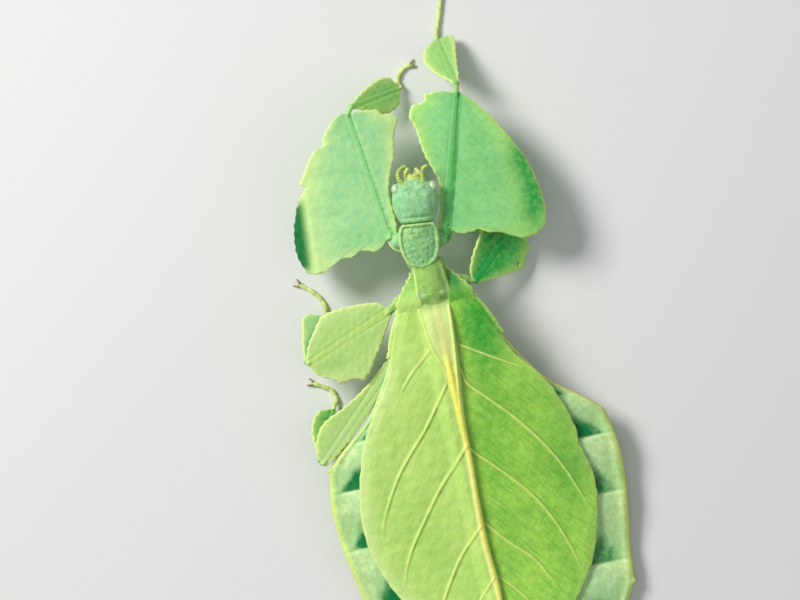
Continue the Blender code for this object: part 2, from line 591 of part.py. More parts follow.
def build_mouthparts(place):
    """The labrum over the jaws, with a palp on each side."""
    lift = front_height(-16.0)
    labrum = ball("labrum", (0.0, -15.9, -0.4 + lift), LABRUM_SIZE, place)
    jaws = ball("jaws", (0.0, -15.7, -1.2 + lift), (1.5, 0.9, 0.8), place)
    palps = []
    for path in PALPS:
        line = flowing_line([(x, y, z + lift) for x, y, z in path], 0.4)
        radii = [0.36 - 0.1 * i / len(line) for i in range(len(line))]
        palps.append(tube("palp", line, radii, place))
    return fuse("mouthparts", [labrum, jaws, *palps])


def build_pronotum():
    """The prothorax with its raised shield."""
    place = front_place()
    body = make_object("pronotum_body", loft_mesh(PRONOTUM_SECTIONS, front_height, 18), place)
    outline = toothed_outline(SHIELD_OUTLINE, 1.2)
    rim = [*outline, outline[0]]

    def top(x, y):
        raised = 0.3 * max(0.0, 1 - distance_to(Vector((x, y)), rim) / 0.9)
        return front_height(y) + 2.55 + raised - 0.055 * x * x

    def bottom(x, y):
        return front_height(y) + 1.3 - 0.055 * x * x

    inner = toothed_outline([(p[0] * 0.78, -3.6 + (p[1] + 3.6) * 0.78, *p[2:]) for p in SHIELD_OUTLINE], 1.2)
    shield = make_object("shield", leaf_mesh(outline, [[*inner, inner[0]]], top, bottom, 1.6), place)
    finish(fuse("pronotum", [body, shield]), BLUE_GREEN)


def flange(name, outline_points, side, level):
    """A thin toothed plate along one side of the thorax."""
    points = [(side * p[0], *p[1:]) for p in outline_points]
    outline = toothed_outline(points, OUTLINE_STEP)

    def top(x, y):
        return body_height(y) + level - 0.05 * max(0.0, abs(x) - 3.0) + MEMBRANE / 2

    def bottom(x, y):
        return top(x, y) - MEMBRANE

    return make_object(name, leaf_mesh(outline, [], top, bottom, 2.0))


def build_thorax():
    """Mesothorax and metathorax, each with a toothed flange along both sides."""
    for name, sections, edge, level in (
        ("mesothorax", MESOTHORAX_SECTIONS, MESOTHORAX_FLANGE, -0.5),
        ("metathorax", METATHORAX_SECTIONS, METATHORAX_FLANGE, 0.0),
    ):
        body = make_object(name + "_body", loft_mesh(sections, body_height))
        flanges = [flange(name + "_flange", edge, side, level) for side in (1, -1)]
        part = fuse(name, [body, *flanges])
        if name == "mesothorax":
            place = front_place()
            slice_off(part, place @ (Vector((0.0, NECK_BACK + GAP, 0.0)) * MM), -place.col[1].xyz)
        finish(part, LEAF_GREEN)


def abdomen_fold(share, y):
    """How far the side lobes dip within each segment, deepest before the segment's end."""
    ends = [METATHORAX_BACK, *SEGMENT_ENDS, ABDOMEN_TIP]
    i = max(k for k in range(len(ends) - 1) if ends[k] <= max(y, ends[0]))
    phase = (y - ends[i]) / (ends[i + 1] - ends[i])
    return FOLD_DEPTH * ease(share, 0.45, 0.85) * math.sin(math.pi * min(max(phase, 0.0), 1.0) ** 2)


def abdomen_top(x, y):
    share = min(abs(x) / abdomen_half_width(y), 1.0)
    crown = crown_height(y) * (1 - share**2) - MARGIN_DROOP * share**4
    return body_height(y) + MEMBRANE / 2 + crown - abdomen_fold(share, y)


def abdomen_bottom(x, y):
    share = min(abs(x) / abdomen_half_width(y), 1.0)
    keel = keel_depth(y) * math.exp(-((x / KEEL_HALF_WIDTH) ** 2))
    edge = MARGIN_DROOP * share**4
    low = body_height(y) - MEMBRANE / 2 - edge - keel * (1 - share**6) - abdomen_fold(share, y)
    return max(low, 0.0)


def build_abdomen():
    """The broad flat abdomen: thin wavy side lobes, a thick keel, and a short pointed tail."""
    left = []
    for y, w in ABDOMEN_HALF_WIDTHS:
        spur = ABDOMEN_SPURS.get(y, 0.0)
        left.append((w + spur, y, TOOTH) if spur else (w, y))
    left[0] = (left[0][0], METATHORAX_BACK, TOOTH)
    left[-1] = (left[-1][0], ABDOMEN_TIP, TOOTH)
    right = [(-p[0], *p[1:]) for p in reversed(left)]
    outline = toothed_outline([*left, *right], OUTLINE_STEP)
    lines = []
    for y in SEGMENT_ENDS:
        half = abdomen_half_width(y) - 1.2
        lines.append(flowing_line([(-half, y), (-half / 2, y), (0.0, y), (half / 2, y), (half, y)], 3.0))
    for x in (-4.5, 4.5):
        lines.append([Vector((x, y)) for y in np.arange(10.0, 72.0, 4.0)])
    abdomen = make_object("abdomen", leaf_mesh(outline, lines, abdomen_top, abdomen_bottom, FILL_STEP))
    return finish(abdomen, PALE_GREEN)


def build_cerci():
    """The two small flat cerci at the tip of the abdomen."""
    level = body_height(ABDOMEN_TIP)
    for name, side in (("cercus_left", 1), ("cercus_right", -1)):
        points = [
            (0.35, 0.3, TOOTH), (1.7, 0.3, TOOTH), (2.0, 1.3), (1.7, 2.4), (1.0, 3.1, TOOTH), (0.45, 1.8),
        ]
        outline = toothed_outline([(side * p[0], ABDOMEN_TIP + p[1], *p[2:]) for p in points], 1.0)
        sheet = leaf_mesh(outline, [], lambda x, y: level + 0.2, lambda x, y: level - 0.35, 1.0)
        finish(make_object(name, sheet), PALE_GREEN)


def wing_middle(x, y, lift_side):
    """Height of a wing cover's middle. The left one rises to lie over the right one at the midline."""
    height = body_height(y) + wing_rise(y) - WING_CAMBER * (x / WING_HALF_WIDTH) ** 2
    if lift_side:
        height += WING_OVERLAP_RISE * (1 - ease(x, OVERLAP_TO, OVERLAP_FROM))
    return height


def build_wing(name, edge, veins, lift_side):
    """A leaf-like wing cover with its veins raised in the upper surface."""
    outline = toothed_outline(edge, OUTLINE_STEP)
    ridges = [(width, height, flowing_line(path, 3.0)) for width, height, path in veins]
    lines = []
    for width, _, path in ridges:
        lines.append(path)
        for side in (1, -1):
            lines.append([p for p in beside(path, side * width) if inside(p, outline)])

    def top(x, y):
        p = Vector((x, y))
        raised = max(h * max(0.0, 1 - distance_to(p, path) / w) for w, h, path in ridges)
        return wing_middle(x, y, lift_side) + MEMBRANE / 2 + raised

    def bottom(x, y):
        return wing_middle(x, y, lift_side) - MEMBRANE / 2

    return finish(make_object(name, leaf_mesh(outline, lines, top, bottom, FILL_STEP)), LEAF_GREEN)


def segment_place(start, end, roll):
    """A frame with X along a leg segment and its flat side up, rolled about X."""
    along = (end - start).normalized()
    across = Vector((0, 0, 1)).cross(along).normalized()
    up = along.cross(across)
    turn = Matrix((along, across, up)).transposed().to_4x4()
    return Matrix.Translation(start * MM) @ turn @ Matrix.Rotation(math.radians(roll), 4, "X")


def lobed_segment(name, start, end, sides, radii, leg):
    """A leg segment: a round shaft along its middle and a leaf-like lobe on each side."""
    length = (end - start).length
    near, far = radii
    reach = leg["mirror"] * leg.get("reach", 1.0)
    ends = leg["mirror"] * math.copysign(1.0, sides[0][0][1])
    ring = [(0.0, ends * near, TOOTH)]
    ring += [(s * length, v * reach, *mark) for s, v, *mark in sides[0]]
    ring += [(length, ends * far, TOOTH), (length, -ends * far, TOOTH)]
    ring += [(s * length, v * reach, *mark) for s, v, *mark in sides[1]]
    ring += [(0.0, -ends * near, TOOTH)]
    outline = serrated(toothed_outline(ring, SERRATION_STEP), 1.6 * near)
    stations = np.linspace(0.0, length, max(3, round(length / 3.2) + 1))
    lines = []
    for share in (0.0, 0.62, -0.62, 1.0, -1.0):
        inner = stations if share == 0.0 or abs(share) < 1 else stations[1:-1]
        lines.append([Vector((s, share * (near + (far - near) * s / length))) for s in inner])

    def half_thickness(x, y):
        radius = near + (far - near) * min(max(x / length, 0.0), 1.0)
        return max(MEMBRANE / 2, math.sqrt(max(radius**2 - y**2, 0.0)))

    hem = [Vector((s * length, v)) for s, v in leg.get("hem", ())]
    if hem:
        lines.append([hem[0].lerp(hem[1], i / 8) for i in range(9)])

    def middle(x, y):
        level = -leg["droop"] * ease(abs(y), 1.0, 18.0)
        if hem and hem[0].x < x < hem[1].x:
            past = y - (hem[0].y + (x - hem[0].x) * (hem[1].y - hem[0].y) / (hem[1].x - hem[0].x))
            level -= HEM_SLOPE * max(past, 0.0)
        return level

    holes = []
    for s, v, radius in leg.get("holes", ()):
        centre = Vector((s * length, v * reach))
        holes.append([centre + Vector((math.cos(a), math.sin(a))) * radius for a in np.linspace(0, 5.0, 6)])
    bm = leaf_mesh(
        outline,
        lines,
        lambda x, y: middle(x, y) + half_thickness(x, y),
        lambda x, y: middle(x, y) - half_thickness(x, y),
        FILL_STEP,
        holes,
    )
    return make_object(name, bm, segment_place(start, end, leg["roll"]))


def joint_line(start, leave, end, arrive, pull, count=7):
    """A curved line that leaves one point and arrives at another in given directions."""
    line = []
    for i in range(count):
        t = i / (count - 1)
        a, b = 2 * t**3 - 3 * t**2 + 1, 3 * t**2 - 2 * t**3
        line.append(a * start + b * end + pull * ((t**3 - 2 * t**2 + t) * leave + (t**3 - t**2) * arrive))
    return line


def build_leg(name, leg, thorax_parts):
    """One leg: coxa with trochanter, femur, tibia and tarsus, each a node of its own."""
    coxa, hip, knee, shin, ankle = (Vector(leg[k]) for k in ("coxa", "hip", "knee", "shin", "ankle"))
    thigh, lower = (knee - hip).normalized(), (ankle - shin).normalized()
    near, far = leg["shaft"]

    stub = hip - thigh * GAP
    line = [*joint_line(coxa, (hip - coxa).normalized(), stub - thigh * 0.5, thigh, 1.5, 6), stub]
    share = np.linspace(0.0, 1.0, len(line))
    radii = [leg["coxa_radius"] * (1 - s) + near * s for s in share]
    root = tube(name + "_coxa", line, radii)
    finish(clear_of(root, thorax_parts), PALE_GREEN)

    femur = lobed_segment(name + "_femur", hip, knee, leg["femur"], (near, far), leg)
    finish(femur, BLUE_GREEN if name.startswith("fore") else LEAF_GREEN)

    flat = {"mirror": leg["mirror"], "reach": leg.get("reach", 1.0), "roll": 0.0, "droop": 0.0}
    blade = lobed_segment(name + "_blade", shin, ankle, leg["tibia"], (far, 0.42), flat)
    bend = joint_line(knee + thigh * GAP, thigh, shin + lower * 0.6, lower, 2.2, 8)
    neck = tube(name + "_neck", bend, [far * 0.8] * len(bend))
    finish(fuse(name + "_tibia", [blade, neck]), PALE_GREEN)
    build_tarsus(name + "_tarsus", ankle + lower * GAP, lower, leg["toes"])


def build_tarsus(name, ankle, lower, toes):
    """A foot of five padded joints flat on the floor, with two claws."""
    line = flowing_line([ankle, ankle + lower * 0.5, *toes], 0.05)
    count = 3 * TARSUS_JOINTS
    points, radii = [], []
    for i in range(count + 1):
        points.append(line[round(i / count * (len(line) - 1))])
        pinch = 0.7 if i % 3 == 0 and 0 < i < count else 1.0
        radii.append(TARSUS_RADIUS * pinch * (0.84 if i == 0 else 1.0))
    foot = flatten_at_floor(tube(name + "_pads", points, radii))
    heading = (Vector(toes[-1]) - Vector(toes[-2])).normalized()
    aside = Vector((-heading.y, heading.x, 0.0))
    claws = []
    for side in (1, -1):
        start = Vector(toes[-1]) + aside * side * 0.2 - heading * 0.3 + Vector((0, 0, 0.12))
        tip = start + heading * CLAW_LENGTH + aside * side * 0.5
        middle = (start + tip) / 2 + Vector((0, 0, 0.2))
        tip.z = 0.2
        line = joint_line(start, (middle - start).normalized(), tip, (tip - middle).normalized(), 0.8, 5)
        claws.append(tube("claw", line, [0.27 - 0.045 * i for i in range(len(line))]))
    finish(fuse(name, [foot, *claws]), YELLOW)


def build_insect():
    build_head()
    build_pronotum()
    build_thorax()
    build_abdomen()
    build_cerci()
    build_wing("wing_cover_left", WING_LEFT_EDGE, VEINS_LEFT, True)
    build_wing("wing_cover_right", WING_RIGHT_EDGE, VEINS_RIGHT, False)
    prothorax = (PRONOTUM_SECTIONS, front_height, front_place())
    mesothorax = (MESOTHORAX_SECTIONS, body_height, None)
    metathorax = (METATHORAX_SECTIONS, body_height, None)
    carriers = {"fore": [prothorax], "mid": [mesothorax, metathorax], "hind": [metathorax]}
    for name, leg in LEGS.items():
        build_leg(name, leg, carriers[name.split("_")[0]])
    shift = Matrix.Translation(Vector((-CENTRE[0], -CENTRE[1], 0.0)) * MM)
    for obj in INSECT.objects:
        obj.matrix_world = shift @ obj.matrix_world


for old in list(bpy.data.objects):
    bpy.data.objects.remove(old)
INSECT = bpy.data.collections.new("leaf_insect")
bpy.context.scene.collection.children.link(INSECT)
build_insect()
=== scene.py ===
"""The looks of the leaf insect: finer pieces than the solids, their materials, the light and the camera.

Lengths are in millimetres in the body's frame, as in the part, and become metres about CENTRE as each
piece is made. X points to the insect's left, the head faces -Y and the floor is z = 0.
"""

import functools
import math

import bmesh
import bpy
import numpy as np
from mathutils import Matrix, Vector


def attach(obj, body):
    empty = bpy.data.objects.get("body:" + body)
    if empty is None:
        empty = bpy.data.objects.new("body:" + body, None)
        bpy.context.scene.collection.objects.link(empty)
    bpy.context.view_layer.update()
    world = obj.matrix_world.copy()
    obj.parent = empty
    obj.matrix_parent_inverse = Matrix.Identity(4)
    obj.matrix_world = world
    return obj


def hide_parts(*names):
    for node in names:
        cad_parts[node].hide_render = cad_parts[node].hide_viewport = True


MM = 0.001
CENTRE = (0.36, 13.22)
TOOTH = "tooth"
MEMBRANE = 0.55
EDGE_THICKNESS = 0.14
EDGE_ROUNDING = 0.5
ROUND_CAP = 0.7

# How many faces across and along each kind of piece
HEAD_GRID = (128, 120)
SHIELD_GRID = (84, 90)
PROTHORAX_GRID = (96, 80)
MESOTHORAX_GRID = (120, 80)
METATHORAX_GRID = (120, 60)
FLANGE_GRID = (30, 80)
ABDOMEN_GRID = (150, 290)
CERCUS_GRID = (24, 40)
WING_GRID = (120, 300)
PLATE_GRID = (30, 50)
SHIN_GRID = (48, 110)

# The body, from the joint between head and thorax backwards
FRONT_PIVOT = (0.9, -7.5)
FRONT_YAW = math.radians(-7.2)
NECK_BACK = 0.2
MESOTHORAX_FRONT = -8.6
MESOTHORAX_BACK = -1.1
METATHORAX_BACK = 7.9
GAP = 0.3
ABDOMEN_TIP = 79.0
SEGMENT_ENDS = (12.6, 21.0, 29.4, 40.1, 52.5, 63.0, 69.0, 73.6)
BODY_HEIGHT_STATIONS = (
    (-26, 11.4), (-15, 11.2), (-7, 10.8), (0, 10.0), (10, 8.7), (25, 6.3),
    (40, 4.3), (50, 3.4), (60, 3.3), (70, 3.9), (80, 5.0),
)
ABDOMEN_HALF_WIDTHS = (
    (7.9, 10.4), (13.8, 13.9), (17.8, 17.0), (20.9, 20.9), (23.0, 23.5), (24.9, 25.2), (27.0, 25.8),
    (33.5, 26.6), (39.6, 26.2), (45.0, 25.4), (50.9, 24.4), (56.8, 23.6), (59.7, 22.0), (63.0, 19.4),
    (66.4, 16.4), (69.6, 12.6), (73.0, 8.6), (76.4, 5.0), (ABDOMEN_TIP, 2.2),
)
# The inner and the outer edge of the left cercus, from the abdomen's tip
CERCUS_EDGES = (
    ((0.35, 0.0), (0.42, 1.6), (0.95, 3.1)), ((1.7, 0.0), (2.0, 1.3), (1.7, 2.4), (1.0, 3.15)),
)
# Station of each spur at the abdomen's edge, with its size on the left and on the right
ABDOMEN_SPURS = ((24.9, 0.7, 0.2), (56.8, 0.6, 0.6), (63.0, 0.4, 0.4), (69.6, 0.4, 0.4), (73.0, 0.3, 0.3))
SPUR_LENGTH = 0.9
KEEL_DEPTHS = ((7.9, 2.3), (20, 2.7), (35, 2.9), (47, 3.35), (57, 3.3), (63, 2.6), (72, 1.4), (79, 0.3))
KEEL_HALF_WIDTH = 7.5
CROWNS = ((7.9, 0.7), (16, 1.0), (62, 1.0), (74, 0.6), (79, 0.25))
MARGIN_DROOP = 0.7
FOLD_DEPTH = 0.45

# Wing covers: edges as (x, station) from the front to the tip, and veins as (width, height, line)
WING_RISES = ((-0.8, 1.5), (4.0, 1.6), (9.0, 1.85), (14.0, 1.95), (66.0, 1.95))
WING_CAMBER = 0.9
WING_HALF_WIDTH = 21.5
WING_OVERLAP_RISE = 1.1
OVERLAP_FROM, OVERLAP_TO = 4.2, 1.9
LEFT_OUTER = (
    (6.4, -0.8), (8.0, 2.0), (9.8, 6.6), (11.8, 11.5), (16.0, 17.6), (18.6, 22.4), (21.0, 29.6),
    (21.9, 36.6), (21.0, 43.4), (18.4, 50.0), (14.6, 55.8), (9.6, 61.4), (5.4, 64.8), (3.2, 65.2),
)
LEFT_INNER = (
    (-2.6, -0.8), (-2.1, 7.0), (-1.5, 13.0), (-0.5, 21.0), (-0.2, 28.6), (0.3, 38.0), (0.4, 45.0),
    (0.1, 52.0), (0.5, 57.0), (1.6, 61.8), (3.2, 65.2),
)
RIGHT_OUTER = (
    (-6.0, -0.8), (-7.8, 2.0), (-9.6, 6.6), (-11.8, 11.5), (-16.0, 17.2), (-18.4, 22.6), (-19.6, 27.4),
    (-19.5, 30.2, TOOTH), (-20.2, 32.4), (-20.9, 37.0), (-20.0, 43.6), (-17.6, 50.6), (-14.0, 56.0),
    (-9.4, 61.2), (-5.1, 64.8), (-2.9, 65.2),
)
RIGHT_INNER = (
    (1.0, -0.8), (1.0, 14.0), (1.1, 30.0), (1.2, 45.0), (0.8, 52.4), (0.0, 57.0), (-1.2, 61.8), (-2.9, 65.2),
)
MIDRIB = (
    (0.3, 8.6), (0.2, 14.0), (0.3, 21.4), (0.35, 28.6), (0.8, 36.0), (1.1, 43.0), (0.75, 52.0), (0.9, 60.0),
)
VEINS_LEFT = (
    (0.34, 0.3, ((-2.2, 0.6), (-1.75, 6.0), (-1.0, 12.0), (-0.3, 18.0), (0.0, 24.0))),
    (0.3, 0.28, ((3.3, 0.0), (2.7, 6.8), (1.8, 9.6), (1.2, 12.0), (1.5, 14.4))),
    (0.26, 0.2, ((3.0, 7.6), (5.0, 9.4), (7.0, 11.0), (10.4, 14.6))),
    (0.3, 0.3, (
        (1.5, 14.4), (3.9, 17.6), (7.0, 21.5), (10.8, 25.5), (14.2, 29.6), (18.0, 36.2), (19.4, 41.0))),
    (0.32, 0.3, (
        (0.4, 26.0), (3.1, 28.8), (7.0, 32.8), (10.6, 37.3), (14.1, 42.0), (16.6, 47.0), (17.4, 51.0))),
    (0.3, 0.3, ((1.2, 40.8), (5.4, 44.9), (8.6, 49.2), (11.4, 54.0), (12.4, 57.5))),
    (0.24, 0.2, ((0.9, 50.4), (4.0, 53.6), (6.8, 57.6), (8.0, 61.4))),
)
VEINS_RIGHT = (
    (0.24, 0.22, ((-2.4, 7.8), (-6.0, 10.2), (-10.4, 13.0), (-13.2, 14.6))),
    (0.32, 0.32, (
        (-1.6, 12.0), (-2.3, 15.0), (-5.6, 18.8), (-9.3, 23.0), (-12.8, 27.9), (-15.6, 33.0), (-18.0, 39.6),
        (-18.7, 43.4))),
    (0.3, 0.3, (
        (-0.2, 26.6), (-1.2, 28.0), (-4.5, 31.5), (-8.9, 36.8), (-12.0, 42.4), (-14.2, 49.0), (-14.9, 53.4))),
    (0.28, 0.28, ((0.2, 40.4), (-0.9, 41.8), (-3.6, 45.1), (-7.2, 48.9), (-10.2, 55.2))),
    (0.22, 0.2, ((0.3, 50.0), (-2.6, 53.2), (-5.2, 57.4), (-6.4, 61.6))),
)
VEIN_SLIMNESS = 0.72
CREAM_FIELD = (
    (0.35, -0.8), (0.3, 5.0), (0.05, 10.0), (0.2, 15.0), (0.15, 25.0), (0.85, 40.0), (0.7, 52.0), (1.2, 62.0),
)
CREAM_HALF_WIDTHS = (
    (-0.8, 2.95), (5.0, 2.45), (10.0, 1.6), (15.0, 0.95), (25.0, 0.6), (40.0, 0.5), (62.0, 0.32),
)
# Where the wing covers are deeper green: (x, station, half sizes of both, amount)
LEFT_PATCHES = (
    (5.0, 3.0, 6.0, 8.0, 0.3), (12.0, 44.0, 7.0, 14.0, 0.35), (4.0, 22.0, 4.0, 8.0, 0.2),
    (5.0, 56.0, 7.0, 5.0, 0.3),
)
RIGHT_PATCHES = (
    (-7.2, 6.0, 4.2, 9.0, 1.0), (-17.0, 33.0, 4.0, 12.0, 0.6), (-6.0, 24.0, 6.0, 8.0, 0.3),
    (-3.0, 38.0, 3.0, 14.0, 0.2),
)

# Sections of the head and thorax: (station, half width, top, bottom), heights from the body's middle
HEAD_SECTIONS = (
    (-7.3, 2.6, 1.6, -1.9), (-8.5, 3.35, 2.3, -2.5), (-10.0, 3.95, 2.7, -2.9), (-11.8, 4.2, 2.8, -3.0),
    (-13.3, 3.95, 2.5, -2.9), (-14.5, 3.4, 1.9, -2.6), (-15.3, 2.7, 1.2, -2.2), (-15.8, 2.1, 0.6, -1.7),
)
PROTHORAX_SECTIONS = (
    (NECK_BACK + 0.8, 2.3, 1.7, -2.0), (NECK_BACK, 2.4, 1.8, -2.0), (-0.8, 2.8, 2.2, -2.4),
    (-2.2, 3.1, 2.4, -2.6), (-4.0, 3.5, 2.5, -2.8), (-5.9, 3.6, 2.5, -2.7), (-7.2, 3.3, 2.3, -2.4),
    (-7.75, 3.0, 1.9, -2.1),
)
MESOTHORAX_SECTIONS = (
    (MESOTHORAX_FRONT, 3.05, 2.1, -2.4), (-6.4, 3.05, 2.35, -2.6), (-4.4, 3.2, 2.45, -2.7),
    (-2.6, 3.5, 2.5, -2.7), (MESOTHORAX_BACK, 3.7, 2.2, -2.6), (1.6, 3.5, 0.6, -2.4),
)
METATHORAX_SECTIONS = (
    (MESOTHORAX_BACK + 0.6, 4.2, 0.85, -2.4), (2.0, 5.0, 0.85, -2.6), (5.0, 6.2, 0.9, -2.7),
    (METATHORAX_BACK + 0.6, 7.4, 0.95, -2.4),
)
SHIELD_BACK = NECK_BACK + 0.3
SHIELD_EDGE = (
    (2.9, -7.55, TOOTH), (3.45, -6.5), (3.65, -4.8), (3.5, -3.0), (3.05, -1.5), (2.3, -0.4), (1.3, 0.25),
    (0.2, SHIELD_BACK, TOOTH),
)
MESOTHORAX_FLANGE = (
    (2.4, -7.4, TOOTH), (3.5, -6.7, TOOTH), (3.7, -6.0), (4.4, -5.6, TOOTH), (4.6, -4.9), (5.3, -4.5, TOOTH),
    (5.5, -3.7), (6.3, -3.3, TOOTH), (6.5, -2.4), (7.1, -1.9, TOOTH), (7.2, 0.9, TOOTH), (2.4, 0.9, TOOTH),
)
METATHORAX_FLANGE = (
    (3.4, MESOTHORAX_BACK + GAP, TOOTH), (7.3, MESOTHORAX_BACK + GAP, TOOTH), (8.0, 0.7), (8.9, 2.4),
    (9.7, 4.1), (10.4, 6.0), (11.0, 7.3, TOOTH), (10.5, METATHORAX_BACK - GAP, TOOTH),
    (3.4, METATHORAX_BACK - GAP, TOOTH),
)
# Bumps as (x, station, radius, height)
HEAD_BUMPS = (
    (1.5, -14.3, 0.45, 0.35), (-1.5, -14.3, 0.45, 0.35), (0.55, -14.75, 0.35, 0.28),
    (-0.55, -14.75, 0.35, 0.28), (0.8, -12.9, 0.35, -0.16), (-0.75, -12.7, 0.35, -0.16),
    (1.9, -10.2, 0.5, 0.12), (-1.9, -10.2, 0.5, 0.12), (2.3, -12.6, 0.45, 0.12),
    (-2.3, -12.4, 0.45, 0.12), (0.9, -9.4, 0.4, 0.1), (-0.9, -9.4, 0.4, 0.1),
)
SHIELD_BUMPS = (
    (1.35, -5.4, 0.5, -0.3), (-1.35, -5.4, 0.5, -0.3), (0.0, -4.6, 0.3, -0.22), (0.0, -3.6, 0.3, -0.22),
    (0.95, -3.1, 0.55, 0.2), (-0.95, -3.1, 0.55, 0.2), (1.9, -3.9, 0.5, 0.18), (-1.9, -3.9, 0.5, 0.18),
    (0.0, -6.5, 0.9, 0.16), (0.7, -1.7, 0.5, 0.16), (-0.7, -1.7, 0.5, 0.16), (0.0, -0.9, 0.25, 0.25),
)
EYE_PLACE = (3.35, -14.0, 0.75)
EYE_SIZE = (0.75, 0.95, 0.9)
ANTENNA_LEFT = (
    (1.9, -14.6, 1.0), (2.6, -15.9, 1.1), (2.5, -17.0, 1.1), (1.75, -17.8, 1.0), (1.0, -17.9, 0.9),
)
ANTENNA_RIGHT = (
    (-1.9, -14.6, 1.0), (-1.7, -15.8, 1.2), (-1.7, -16.8, 1.2), (-2.2, -17.5, 1.1), (-3.0, -17.7, 1.0),
)
ANTENNA_JOINTS = 9
ANTENNA_RADII = (0.5, 0.44, 0.4, 0.36, 0.32)
# The round parts of the mouth: name, centre, size and how deep the front is notched
MOUTH_PARTS = (
    ("labrum", 0.0, -15.9, -0.4, (1.25, 0.9, 0.8), 0.35),
    ("jaw_left", 0.75, -15.7, -1.2, (0.85, 0.95, 0.75), 0.0),
    ("jaw_right", -0.75, -15.7, -1.2, (0.85, 0.95, 0.75), 0.0),
    ("clypeus", 0.0, -15.2, 0.1, (1.7, 0.8, 0.75), 0.0),
)
NOTCH_WIDTH = 0.3
PALPS = (
    ((0.95, -15.2, -0.9), (1.25, -16.4, -0.9), (1.0, -17.2, -1.2), (0.6, -17.5, -1.6)),
    ((-0.95, -15.2, -0.9), (-1.2, -16.3, -0.8), (-0.9, -17.1, -1.1), (-0.5, -17.4, -1.5)),
)
PALP_RADII, INNER_PALP_RADII = (0.46, 0.44, 0.4, 0.34), (0.26, 0.24, 0.18)
INNER_PALP = ((0.5, -15.6, -1.6), (0.55, -16.5, -1.9), (0.3, -17.0, -2.2))

# Leg lobes: each side as (share of length, reach), from the hip to the knee and back
FORE_FEMUR_LEFT = (
    ((0.02, 1.3), (-0.03, 1.8), (-0.05, 3.3), (-0.02, 5.0), (-0.01, 6.5), (-0.035, 7.9, TOOTH), (-0.02, 9.5),
     (-0.03, 11.2), (-0.065, 12.7, TOOTH), (-0.07, 14.4), (-0.04, 16.1, TOOTH), (0.11, 16.8), (0.26, 16.2),
     (0.40, 14.8), (0.50, 13.4, TOOTH), (0.575, 11.3, TOOTH), (0.61, 12.3, TOOTH), (0.74, 9.7),
     (0.81, 8.0, TOOTH), (0.83, 6.2), (0.89, 5.5, TOOTH), (0.98, 3.0), (1.015, 1.5, TOOTH)),
    ((0.99, -1.1, TOOTH), (0.98, -3.2), (0.945, -5.5, TOOTH), (0.905, -5.9), (0.89, -7.7, TOOTH),
     (0.83, -8.1, TOOTH), (0.73, -6.6), (0.59, -5.4), (0.45, -3.5), (0.33, -2.4), (0.20, -2.0), (0.07, -1.7)),
)
FORE_FEMUR_RIGHT = (
    ((0.05, -1.3), (0.02, -2.3), (0.035, -4.3, TOOTH), (0.06, -6.2), (0.042, -7.9, TOOTH), (0.053, -10.0),
     (0.03, -12.4, TOOTH), (0.027, -14.4), (0.053, -16.2, TOOTH), (0.126, -17.8, TOOTH), (0.237, -17.6),
     (0.35, -16.6), (0.45, -15.4), (0.565, -13.6), (0.65, -11.7), (0.75, -9.2), (0.84, -6.7), (0.91, -4.4),
     (0.985, -1.3, TOOTH)),
    ((0.99, 1.1, TOOTH), (0.995, 3.2, TOOTH), (0.963, 5.6, TOOTH), (0.91, 5.9), (0.876, 7.9, TOOTH),
     (0.80, 8.2, TOOTH), (0.74, 7.0), (0.65, 6.0), (0.56, 5.0), (0.47, 3.5), (0.38, 2.0), (0.24, 1.5),
     (0.10, 1.25)),
)
FORE_TIBIA_LEFT = (
    ((0.10, 0.7), (0.26, 1.5), (0.45, 2.2), (0.72, 2.8), (0.90, 2.4), (0.985, 1.0, TOOTH)),
    ((0.985, -0.8, TOOTH), (0.88, -2.5), (0.73, -3.3), (0.52, -3.2), (0.28, -1.8), (0.12, -0.8)),
)
FORE_TIBIA_RIGHT = (
    ((0.12, -0.8), (0.30, -1.3), (0.60, -2.1), (0.82, -2.8), (0.96, -2.5), (0.99, -0.9, TOOTH)),
    ((0.985, 1.0, TOOTH), (0.86, 3.0), (0.69, 3.7), (0.50, 3.3), (0.28, 2.2, TOOTH), (0.12, 0.9)),
)
MID_FEMUR = (
    ((0.03, -1.3), (0.07, -2.4), (0.27, -4.2), (0.51, -5.6), (0.63, -5.8, TOOTH), (0.76, -4.3), (0.87, -3.0),
     (0.985, -0.9, TOOTH)),
    ((0.99, 0.9, TOOTH), (0.985, 1.9, TOOTH), (0.94, 3.4), (0.86, 4.8), (0.83, 6.1, TOOTH), (0.69, 6.8),
     (0.60, 7.9, TOOTH), (0.48, 6.9), (0.26, 4.1), (0.08, 1.8)),
)
MID_TIBIA = (
    ((0.10, -0.7), (0.40, -1.0), (0.80, -1.0), (0.98, -0.7, TOOTH)),
    ((0.985, 1.1, TOOTH), (0.93, 2.8), (0.82, 3.4), (0.60, 2.8), (0.34, 1.8), (0.12, 0.8)),
)
HIND_FEMUR = (
    ((0.06, -0.9), (0.28, -1.3), (0.46, -2.0), (0.58, -2.8, TOOTH), (0.70, -3.8), (0.78, -4.0), (0.88, -3.2),
     (0.955, -1.9, TOOTH), (0.985, -0.9, TOOTH)),
    ((0.985, 0.8, TOOTH), (0.83, 1.3), (0.70, 1.5), (0.55, 1.6), (0.40, 1.5), (0.25, 1.3), (0.06, 0.9)),
)
HIND_TIBIA = (
    ((0.10, -0.7), (0.40, -1.0), (0.80, -1.0), (0.98, -0.7, TOOTH)),
    ((0.985, 0.9, TOOTH), (0.92, 2.2), (0.78, 3.0), (0.56, 2.9), (0.34, 2.0), (0.12, 0.8)),
)
LOBE_SPREAD = 1.35
HEM_SLOPE = 0.9

